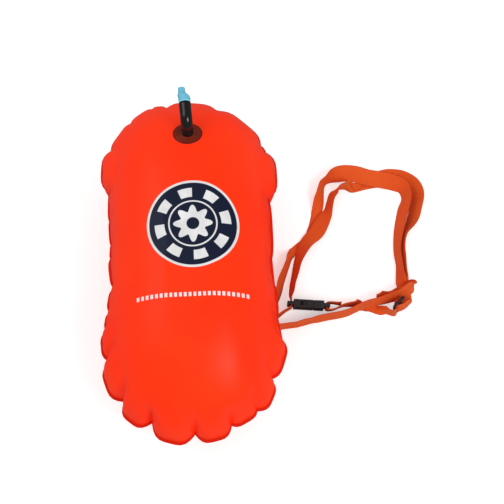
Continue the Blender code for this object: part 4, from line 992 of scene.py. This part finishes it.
world = bpy.data.worlds.new("studio")
scene.world = world
world.use_nodes = True
sky = world.node_tree.nodes["Background"]
feed(world, sky.inputs["Color"], (1.0, 1.0, 1.0))
rays = node(world, "ShaderNodeLightPath").outputs
light = between_values(world, rays["Is Glossy Ray"], 0.0, 1.0, WORLD_LIGHT, WORLD_MIRRORED)
light = between_values(world, rays["Is Camera Ray"], 0.0, 1.0, light, 1.0)
join(world, light, sky.inputs["Strength"])


def soft_lamp(name, place, size, power):
    """A square area lamp that looks at the float."""
    lamp = bpy.data.lights.new(name, "AREA")
    lamp.size = size
    lamp.energy = power
    holder = added(name, lamp)
    holder.location = place
    facing = Vector(LAMPS_AIM) - Vector(place)
    holder.rotation_euler = facing.to_track_quat("-Z", "Y").to_euler()


soft_lamp("key", (1.15, -1.0, 1.8), 0.9, 18.0)
soft_lamp("fill", (-1.2, 0.6, 1.8), 1.6, 12.0)

# %% [markdown]
# ## The leash
#
# The leash is welded to the float's underside between two round patches, comes out from under it and
# ends in a loop round the belt. Its end between the patches follows the film, found by looking up at
# it from the floor with a ray.

# %% Leash
ANCHOR = np.array((26.0 * MM, -0.643 * HALF_LENGTH))
ANCHOR_HEADING = math.radians(50.0)
LEASH_END = 13.0 * MM
LEASH_DROP = 3.1 * MM
BELOW_ALL, ABOVE_ALL = -0.1, 0.4
UPWARDS = Vector((0.0, 0.0, 1.0))

anchor_facing = film_tree.ray_cast(Vector((*ANCHOR, BELOW_ALL)), UPWARDS)[1]
if anchor_facing.z > 0:
    anchor_facing = -anchor_facing


def under_film(x, y, drop):
    """A point on the float's underside, dropped along the direction that the anchor faces."""
    found = film_tree.ray_cast(Vector((x, y, BELOW_ALL)), UPWARDS)[0]
    return np.array(found + anchor_facing * drop)


def under_line(offset):
    """The welded end's line on the film, moved sideways by an offset."""
    ahead = np.array((math.cos(ANCHOR_HEADING), math.sin(ANCHOR_HEADING)))
    spots = ANCHOR + ahead * np.linspace(-LEASH_END, LEASH_END, 13)[:, None]
    spots = spots + np.array((-ahead[1], ahead[0])) * offset
    return np.array([under_film(x, y, LEASH_DROP) for x, y in spots])


welded_across = unit_rows(under_line(WEB_WIDTH / 2) - under_line(-WEB_WIDTH / 2))
welded = under_line(0.0), welded_across * WEB_WIDTH / 2
leash_strand = route_strand(LEASH_ROUTE)
leash_strand = joined(welded, bridge(end_of(welded), end_of(leash_strand, 0), 24), leash_strand)
leash = strap("leash_strap", "leash", leash_strand)
leash_loop = strap("leash_end_loop", "leash_loop", route_strand(LEASH_ROUTE[-1:] + LOOP_ROUTE))

# %% Anchor patches
RING_SHARES = np.array((0.15, 0.35, 0.55, 0.72, 0.80, 0.84, 0.88, 0.93, 0.985, 1.0))
RING_BUMPS = np.array((0, 0, 0, 0, 0.15, 0.3, 0.3, 0.1, 0, -0.1)) * MM
PATCH_THICKNESS = 0.6 * MM

film_plain, plain_shader = new_finish("patch_film", (0.95, 0.034, 0.004), 0.32, (
    ("Specular IOR Level", 0.45),
))
where, _ = place_on(film_plain)
patch_grain = noise(film_plain, where, 420.0, 3.0, 0.6)
patch_tone = mixed(film_plain, patch_grain, (0.90, 0.026, 0.003), (1.0, 0.048, 0.006))
join(film_plain, patch_tone, plain_shader.inputs["Base Color"])
raised(film_plain, plain_shader, patch_grain, 0.2, 0.0003)


def film_patch(name, stands_for, radius, drop):
    """A round patch under the float: rings that follow the film at a drop, with a rounded edge and a
    raised weld ring near it."""
    turn = circle_angles(64)
    upper, lower = [], []
    for share, bump in zip(RING_SHARES, RING_BUMPS):
        spots = ANCHOR + radius * share * np.column_stack((np.cos(turn), np.sin(turn)))
        upper.append([under_film(x, y, drop) for x, y in spots])
        lower.append([under_film(x, y, drop + PATCH_THICKNESS + bump) for x, y in spots])
    upper[-1] = list(np.array(upper[-1]) * 0.6 + np.array(lower[-1]) * 0.4)
    patch = closed_surface(name, np.array(upper + lower[::-1]), 60.0)
    dress(patch, film_plain)
    declare(patch, "float", "float_film", stands_for)


film_patch("anchor_patch_film", "anchor_patch", 20.0 * MM, 0.7 * MM)
film_patch("anchor_cover_film", "anchor_cover", 15.0 * MM, 5.0 * MM)
print("anchor patches at", (ANCHOR * 1000).round().tolist())

# %% [markdown]
# ## Stitching
#
# A strap is sewn where it ends: on the leash at the anchor and at its loop, and on the belt's end at
# the plug half. A seam is a box of small stitches on the strap. One stitch is a short capsule, and
# the whole box is that capsule moved to all its places at once.

# %% Stitch builder
STITCH_LENGTH = 2.3 * MM
STITCH_RADIUS = 0.32 * MM
STITCH_PITCH = STITCH_LENGTH * 1.35
SEAM_REACH = 9.5 * MM
BAR_STATIONS = np.array((-1.0, -0.93, -0.75, -0.3, 0.3, 0.75, 0.93, 1.0))
BAR_SIDES = 8

thread, thread_shader = new_finish("thread", (0.78, 0.085, 0.010), 0.6, (("Sheen Weight", 0.2),))
twist = ribs(thread, place_on(thread)[1][0], 2600.0)
# Painted shade in the grooves of the twist: a darker and a lighter copy of the thread's colour
twist_shade_tone = mixed(thread, twist, (0.62, 0.055, 0.006), (0.92, 0.13, 0.020))
join(thread, twist_shade_tone, thread_shader.inputs["Base Color"])


def capsules(name, middle, ways, length, radius, finish):
    """Small rounded bars at many places, as one piece. At z from -1 to 1 along a bar its radius is
    r x (1 - z^8)^(1/2), so that only its ends are round. The ways are the bars' long direction and
    the two across it."""
    long_way, wide_way, third_way = (way[:, None, None] for way in ways)
    around = circle_angles(BAR_SIDES)
    girth = radius * np.sqrt(np.maximum(1 - BAR_STATIONS**8, 0.04))[:, None]
    local = (long_way * (BAR_STATIONS * length / 2)[None, :, None, None]
             + wide_way * (girth * np.cos(around))[None, :, :, None]
             + third_way * (girth * np.sin(around))[None, :, :, None])
    points = (middle[:, None, None] + local).reshape(-1, 3)
    each = len(BAR_STATIONS) * BAR_SIDES
    shift = (np.arange(len(middle)) * each)[:, None, None]
    ends = np.array((range(BAR_SIDES), range(each - 1, each - 1 - BAR_SIDES, -1)))
    faces = (grid_quads(len(BAR_STATIONS), BAR_SIDES)[None] + shift).reshape(-1, 4).tolist()
    faces += (ends[None] + shift).reshape(-1, BAR_SIDES).tolist()
    piece = piece_from(name, points, faces, 60.0)
    dress(piece, finish)
    return piece


def seam(name, strand, start, stop):
    """Stitches on both faces of a strap between two distances along it: two long rows, and three rows
    across."""
    line, half = strand
    across_spots = np.arange(-SEAM_REACH, SEAM_REACH + 1e-6, STITCH_PITCH)
    spots = [
        (d, side * SEAM_REACH, 0) for d in np.arange(start, stop + 1e-6, STITCH_PITCH) for side in (-1, 1)
    ]
    spots += [(d, offset, 1) for d in (start, (start + stop) / 2, stop) for offset in across_spots]
    spots = np.array(spots)
    place = read_along(line, line, spots[:, 0])
    ahead = unit_rows(read_along(line, np.gradient(line, axis=0), spots[:, 0]))
    side = unit_rows(read_along(line, half, spots[:, 0]))
    face = unit_rows(np.cross(ahead, side))
    crosswise = spots[:, 2:] > 0.5
    ways = np.where(crosswise, side, ahead), np.where(crosswise, ahead, side), face
    middle = place + side * spots[:, 1:2]
    off_middle = WEB_THICKNESS / 2 + 0.05 * MM
    lifted = np.vstack([middle + face * sign * off_middle for sign in (-1.0, 1.0)])
    doubled = [np.vstack((way, way)) for way in ways]
    piece = capsules(name, lifted, doubled, STITCH_LENGTH, STITCH_RADIUS, thread)
    print(name, len(lifted), "stitches")
    return piece


leash_length = length_of(leash_strand[0])
plug_end_length = length_of(plug_end_strand[0])
seam_anchor = seam("seam_at_anchor", leash_strand, 3 * MM, 18 * MM)
seam_loop = seam("seam_at_loop", leash_strand, leash_length - 20 * MM, leash_length - 4 * MM)
seam_plug = seam("seam_at_plug_bar", plug_end_strand, plug_end_length - 15 * MM, plug_end_length - 4 * MM)

# %% [markdown]
# ## Straps that move
#
# At the limits of the joints the adjuster slides and the plug half of the buckle pulls out. The straps
# in the adjuster ride on it, the leash and its seams ride on the float, and the other straps keep
# their place in the shared frame.

for piece in (belt_weave, belt_end):
    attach(piece, "adjuster")
for piece in (leash, seam_anchor, seam_loop):
    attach(piece, "float")
for piece in (belt_rear, belt_front):
    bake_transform(piece)
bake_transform(leash_loop)
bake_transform(belt_tail)
for piece in (belt_plug_end, seam_plug):
    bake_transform(piece)


front_end = [nodes[name] for name in ("tri_glide", "buckle_male", "latch_arm_upper", "latch_arm_lower")]
front_end = [belt_weave, belt_end, belt_tail, belt_plug_end] + front_end
print("cords of", [round(length_of(strand[0]) * 1000) for strand in (front_strand, rear_strand)], "mm")

# %% [markdown]
# ## The valve
#
# A round flange is welded under the film and shows through it as a dark disc. A bent black tube
# comes out of it, with a blue mouthpiece on a pale sleeve that opens when it is turned.

# %% Valve frame
VALVE_X, VALVE_Y = 4.0 * MM, 162.0 * MM
VALVE_TILT = math.radians(18.0)
VALVE_SWING = math.radians(4.0)
TUBE_RADIUS = 8.25 * MM
TUBE_BORE = 5.9 * MM
TUBE_BEND = 16.0 * MM
TUBE_OUT = 15.0 * MM
TUBE_IN = 17.5 * MM
tube_end = Vector((2.32 * MM, 196.49 * MM, 212.43 * MM))
valve_lift = Vector((0.0, math.sin(VALVE_TILT), math.cos(VALVE_TILT)))
level_ahead = Vector((0.0, math.cos(VALVE_TILT), -math.sin(VALVE_TILT)))
valve_ahead = Matrix.Rotation(VALVE_SWING, 3, "Z") @ level_ahead
bend_turn = math.pi / 2 - VALVE_TILT
tube_heading = (valve_lift * math.cos(bend_turn) + valve_ahead * math.sin(bend_turn)).normalized()
print("tube bends by", round(math.degrees(bend_turn)), "degrees")


def rings_along(line, radius):
    """Circles of the given radii square to a line, as an array of rings that start on its X side."""
    heading = unit_rows(np.gradient(line, axis=0))
    side = unit_rows(np.array((1.0, 0.0, 0.0)) - heading * heading[:, :1])
    other = np.cross(heading, side)
    turn = circle_angles(48)[None, :, None]
    round_way = side[:, None] * np.cos(turn) + other[:, None] * np.sin(turn)
    return line[:, None] + round_way * np.asarray(radius)[:, None, None]


# %% The bent tube
LIP_DRAW, LIP_LENGTH = 0.035, 1.2 * MM
BEAD_RISE, BEAD_PLACE, BEAD_LENGTH = 0.35 * MM, 3.2 * MM, 1.4 * MM

end_point, end_heading = np.array(tube_end), np.array(tube_heading)
lift_way, ahead_way = np.array(valve_lift), np.array(valve_ahead)
bend = np.linspace(1, 0, 22)[:, None] * bend_turn
bend_rise = lift_way * math.sin(bend_turn) + ahead_way * (1 - math.cos(bend_turn))
bend_start = np.array(tube_end - tube_heading * TUBE_OUT) - TUBE_BEND * bend_rise
bend_line = bend_start + TUBE_BEND * (lift_way * np.sin(bend) + ahead_way * (1 - np.cos(bend)))
straight_out = end_point - end_heading * np.linspace(0, TUBE_OUT, 14)[:, None]
straight_in = bend_start - lift_way * np.linspace(0, TUBE_IN, 14)[1:, None]
tube_line = np.vstack((straight_out, bend_line[1:], straight_in))[::-1]
from_end = travel(tube_line[::-1])[::-1]
outer = TUBE_RADIUS * (1 - LIP_DRAW * np.exp(-((from_end / LIP_LENGTH) ** 2)))
outer = outer + BEAD_RISE * np.exp(-(((from_end - BEAD_PLACE) / BEAD_LENGTH) ** 2))
outer_rings = rings_along(tube_line, outer)
inner_rings = rings_along(tube_line, np.full(len(tube_line), TUBE_BORE))
tube_grid = np.concatenate((outer_rings, inner_rings[::-1], outer_rings[:1]))
tube_piece = closed_loop("valve_tube_bent", tube_grid, 60.0)
declare(tube_piece, "float", "valve_rubber", "valve_tube")
print("tube centre line", round(from_end[0] * 1000, 1), "mm")

# %% The disc that shows through the film
# Each row is a radius and a lift off the film, in millimetres. A ridge runs round near the rim
DISC_PROFILE = (
    (8.35, 0.9), (8.9, 0.95), (9.6, 0.5), (12.0, 0.35), (15.0, 0.33), (17.4, 0.33), (18.3, 0.38),
    (18.9, 0.62), (19.5, 0.62), (20.1, 0.34), (20.6, -0.3),
)
DISC_UNDER = -0.35 * MM
CAST_FROM = 60.0 * MM
valve_base = Vector(film_tree.ray_cast(Vector((VALVE_X, VALVE_Y, ABOVE_ALL)), -UPWARDS)[0])
disc_x = Vector((1.0, 0.0, 0.0))
disc_y = valve_lift.cross(disc_x)


def on_film(radius, lift):
    """Points on the film round the valve: a ring in the flange's plane, laid onto the film along the
    valve's axis and lifted off it."""
    spots = []
    for angle in circle_angles(72):
        aside = (disc_x * math.cos(angle) + disc_y * math.sin(angle)) * radius
        hit = film_tree.ray_cast(valve_base + aside + valve_lift * CAST_FROM, -valve_lift)[0]
        spots.append(hit + valve_lift * lift)
    return np.array(spots)


disc_rings = [on_film(radius, lift) for radius, lift in np.array(DISC_PROFILE) * MM]
under_rings = [on_film(radius * MM, DISC_UNDER) for radius, _ in DISC_PROFILE[-2::-1]]
disc_grid = np.array(disc_rings + under_rings + disc_rings[:1])
flange_disc = closed_loop("valve_flange_disc", disc_grid, 70.0)
declare(flange_disc, "float", "float_film")
print("flange disc at", [round(value * 1000, 1) for value in valve_base])

# %% Sleeve
# A turned piece: each row of its profile is a radius and a height off the tube's end, in millimetres
SLEEVE_PROFILE = (
    (4.2, 9.0), (5.4, 9.0), (5.6, 8.8), (5.6, 2.0), (8.1, 2.0), (8.35, 1.75), (8.35, 0.55),
    (8.1, 0.3), (5.5, 0.3), (5.5, -12.0), (4.2, -12.0),
)
valve_side = tube_heading.cross(Vector((0.0, 0.0, 1.0))).normalized()
valve_up = valve_side.cross(tube_heading)
end_turn = np.array((valve_side, -valve_up, tube_heading)).T


def at_tube_end(places):
    """Points given in millimetres across and along the tube's end, in the shared frame."""
    return places * MM @ end_turn.T + end_point


turn = circle_angles(64)
sleeve_radius, sleeve_height = (column[:, None] for column in np.array(SLEEVE_PROFILE).T)
sleeve_grid = np.stack(np.broadcast_arrays(
    sleeve_radius * np.cos(turn), sleeve_radius * np.sin(turn), sleeve_height
), axis=-1)
sleeve = closed_loop("valve_sleeve", at_tube_end(np.concatenate((sleeve_grid, sleeve_grid[:1]))), 40.0)
declare(sleeve, "float", "valve_sleeve", "valve_body")
print("sleeve of", len(SLEEVE_PROFILE), "rings")

# %% Mouthpiece
# Each row is a height off the tube's end and a radius there, in millimetres
MOUTH_PROFILE = (
    (2.3, 7.9), (2.5, 8.15), (3.2, 8.2), (5.0, 8.2), (7.0, 8.15), (9.0, 8.05), (11.0, 7.85),
    (12.4, 7.4), (13.2, 6.7), (14.0, 6.0), (15.0, 5.6), (16.5, 5.35), (18.0, 5.2), (20.0, 5.0),
    (22.0, 4.85), (23.2, 4.7), (23.8, 4.35), (24.0, 3.9),
)
# The same, and how far the bore stands off the axis
LINING_PROFILE = (
    (23.6, 2.1, -1.9), (20.0, 1.95, -1.5), (15.2, 1.95, -0.6), (15.0, 2.75, 0.0), (11.8, 2.75, 0.0),
    (9.6, 5.9, 0.0), (2.3, 5.9, 0.0),
)
MOUTH_SHIFT = 2.6
MOUTH_FLATTER = 0.16
GRIP_RIBS, GRIP_DEPTH = 24, 0.16

# The skin is its profile carried round. Towards the tip it moves aside and gets flatter, and where
# fingers hold it, it has shallow ribs, depth x cos(24 x angle)
rise, wide = (column[:, None] for column in np.array(MOUTH_PROFILE).T)
shift = -MOUTH_SHIFT * smoothstep((rise - 8.0) / 7.0)
flat = 1 - MOUTH_FLATTER * smoothstep((rise - 13.0) / 6.0)
turn = circle_angles(96)
grip = GRIP_DEPTH * smoothstep((rise - 3.0) / 1.0) * (1 - smoothstep((rise - 9.0) / 2.0))
grip = grip * np.cos(GRIP_RIBS * turn)
skin = np.stack(np.broadcast_arrays(
    wide * np.cos(turn) + shift + grip * np.cos(turn),
    wide * flat * np.sin(turn) + grip * np.sin(turn),
    rise,
), axis=-1)
rise_in, wide_in, shift_in = (column[:, None] for column in np.array(LINING_PROFILE).T)
lining = np.stack(np.broadcast_arrays(
    wide_in * np.cos(turn) + shift_in, wide_in * np.sin(turn), rise_in
), axis=-1)
mouth_grid = at_tube_end(np.concatenate((skin, lining, skin[:1])))
mouthpiece = closed_loop("valve_mouthpiece", mouth_grid, 55.0)
declare(mouthpiece, "mouthpiece_cap", "mouthpiece_blue", "mouthpiece")
print("mouthpiece from", rise[0, 0], "to", rise[-1, 0], "mm off the tube's end")


# %% [markdown]
# ## Finishes of the hard pieces
#
# The tube is soft, shiny black vinyl. The mouthpiece and its sleeve are moulded in blue, with a fine
# grain. The buckle and the adjuster are satin black nylon with a spark-eroded texture.

# %% Moulded finishes
def moulded(name, colour, other, roughness, grain_scale, grain_depth):
    """A moulded plastic: two close tones in a fine grain, and the same grain as relief."""
    finish, shader = new_finish(name, colour, roughness)
    where, _ = place_on(finish)
    fine = noise(finish, where, grain_scale, 3.0, 0.6)
    join(finish, mixed(finish, fine, colour, other), shader.inputs["Base Color"])
    wide_noise = noise(finish, where, 60.0, 2.0)
    gloss = between_values(finish, wide_noise, 0.3, 0.7, roughness - 0.05, roughness + 0.07)
    join(finish, gloss, shader.inputs["Roughness"])
    raised(finish, shader, fine, 0.3, grain_depth)
    return finish


tube_finish = moulded("tube_black", (0.006, 0.006, 0.007), (0.012, 0.010, 0.010), 0.16, 140.0, 0.0002)
blue_finish = moulded("mouthpiece_blue", (0.13, 0.48, 0.68), (0.17, 0.55, 0.74), 0.34, 700.0, 0.00008)
pale_finish = moulded("sleeve_blue", (0.25, 0.72, 0.88), (0.30, 0.78, 0.92), 0.34, 700.0, 0.00008)
buckle_finish = moulded("buckle_black", (0.010, 0.010, 0.011), (0.020, 0.020, 0.021), 0.42, 900.0, 0.0001)
seal_finish = moulded("seal_black", (0.010, 0.010, 0.010), (0.016, 0.016, 0.016), 0.55, 500.0, 0.0001)
plug_finish = moulded("plug_grey", (0.50, 0.53, 0.55), (0.60, 0.62, 0.64), 0.35, 500.0, 0.0001)
print("moulded finishes for the tube, the valve, the buckle, the seals and the plug")

# %% Finish of the flange's disc
DISC_RIM = 18.4 * MM, 18.8 * MM
DISC_TONES = (0.15, 0.012, 0.002), (0.23, 0.021, 0.004)
RIM_TONE = (0.165, 0.0020, 0.0004)

disc_finish, disc_shader = new_finish("flange_under_film", (0.19, 0.016, 0.003), 0.34, (
    ("Specular IOR Level", 0.34),
))
where, _ = place_on(disc_finish)
reach = node(disc_finish, "ShaderNodeVectorMath", operation="DISTANCE")
join(disc_finish, where, reach.inputs[0])
reach.inputs[1].default_value = valve_base
under = noise(disc_finish, where, 70.0, 2.0)
brown = mixed(disc_finish, between_values(disc_finish, under, 0.35, 0.65), *DISC_TONES)
rim_share = between_values(disc_finish, reach.outputs["Value"], *DISC_RIM)
disc_tone = mixed(disc_finish, rim_share, brown, RIM_TONE)
join(disc_finish, disc_tone, disc_shader.inputs["Base Color"])
print("disc finish with a rim from", round(DISC_RIM[0] / MM, 1), "mm")

# %% Dress the hard pieces
dress(tube_piece, tube_finish)
dress(sleeve, pale_finish)
dress(mouthpiece, blue_finish)
dress(flange_disc, disc_finish)
dress(nodes["valve_plug"], plug_finish)
for name in ("buckle_female", "buckle_male", "latch_arm_upper", "latch_arm_lower", "tri_glide"):
    dress(nodes[name], buckle_finish)
for name in ("plug_o_ring", "mouthpiece_o_ring", "valve_flange"):
    dress(nodes[name], seal_finish)
print("finishes:", sorted(m.name for m in bpy.data.materials if m.users))

# %% [markdown]
# ## Grip ribs
#
# Moulded buckles have fine ribs where the fingers press and pull. The same small bars that made the
# stitches are set into the broad faces of both halves of the buckle.

# %% Ribs on the buckle
BUCKLE_CENTRE = Vector((164.8 * MM, -37.5 * MM, 17.95 * MM))
BUCKLE_HEADING = math.radians(-6.2)
BUCKLE_LEAN = math.radians(10.0)
RIB_RADIUS = 0.42 * MM
RIB_PITCH = 2.2 * MM
RIB_DEPTH = 5.70 * MM
buckle_frame = standing_frame(BUCKLE_CENTRE, BUCKLE_HEADING, BUCKLE_LEAN)
buckle_along, buckle_out, buckle_up = np.array(buckle_frame.to_3x3()).T


def buckle_ribs(name, body, first, count, length):
    """A row of upright ribs on both broad faces, from a distance along the buckle."""
    row = np.array(BUCKLE_CENTRE) + buckle_along * (first + np.arange(count) * RIB_PITCH)[:, None]
    middle = np.vstack([row + buckle_out * sign * RIB_DEPTH for sign in (-1, 1)])
    ways = [np.tile(way, (len(middle), 1)) for way in (buckle_up, buckle_along, buckle_out)]
    made = capsules(name, middle, ways, length, RIB_RADIUS, buckle_finish)
    declare(made, body, "buckle_plastic")
    print(name, len(middle), "ribs")


buckle_ribs("ribs_on_socket", "float", -21.0 * MM, 5, 16 * MM)
buckle_ribs("ribs_on_plug", "plug_half", 10.5 * MM, 4, 18 * MM)
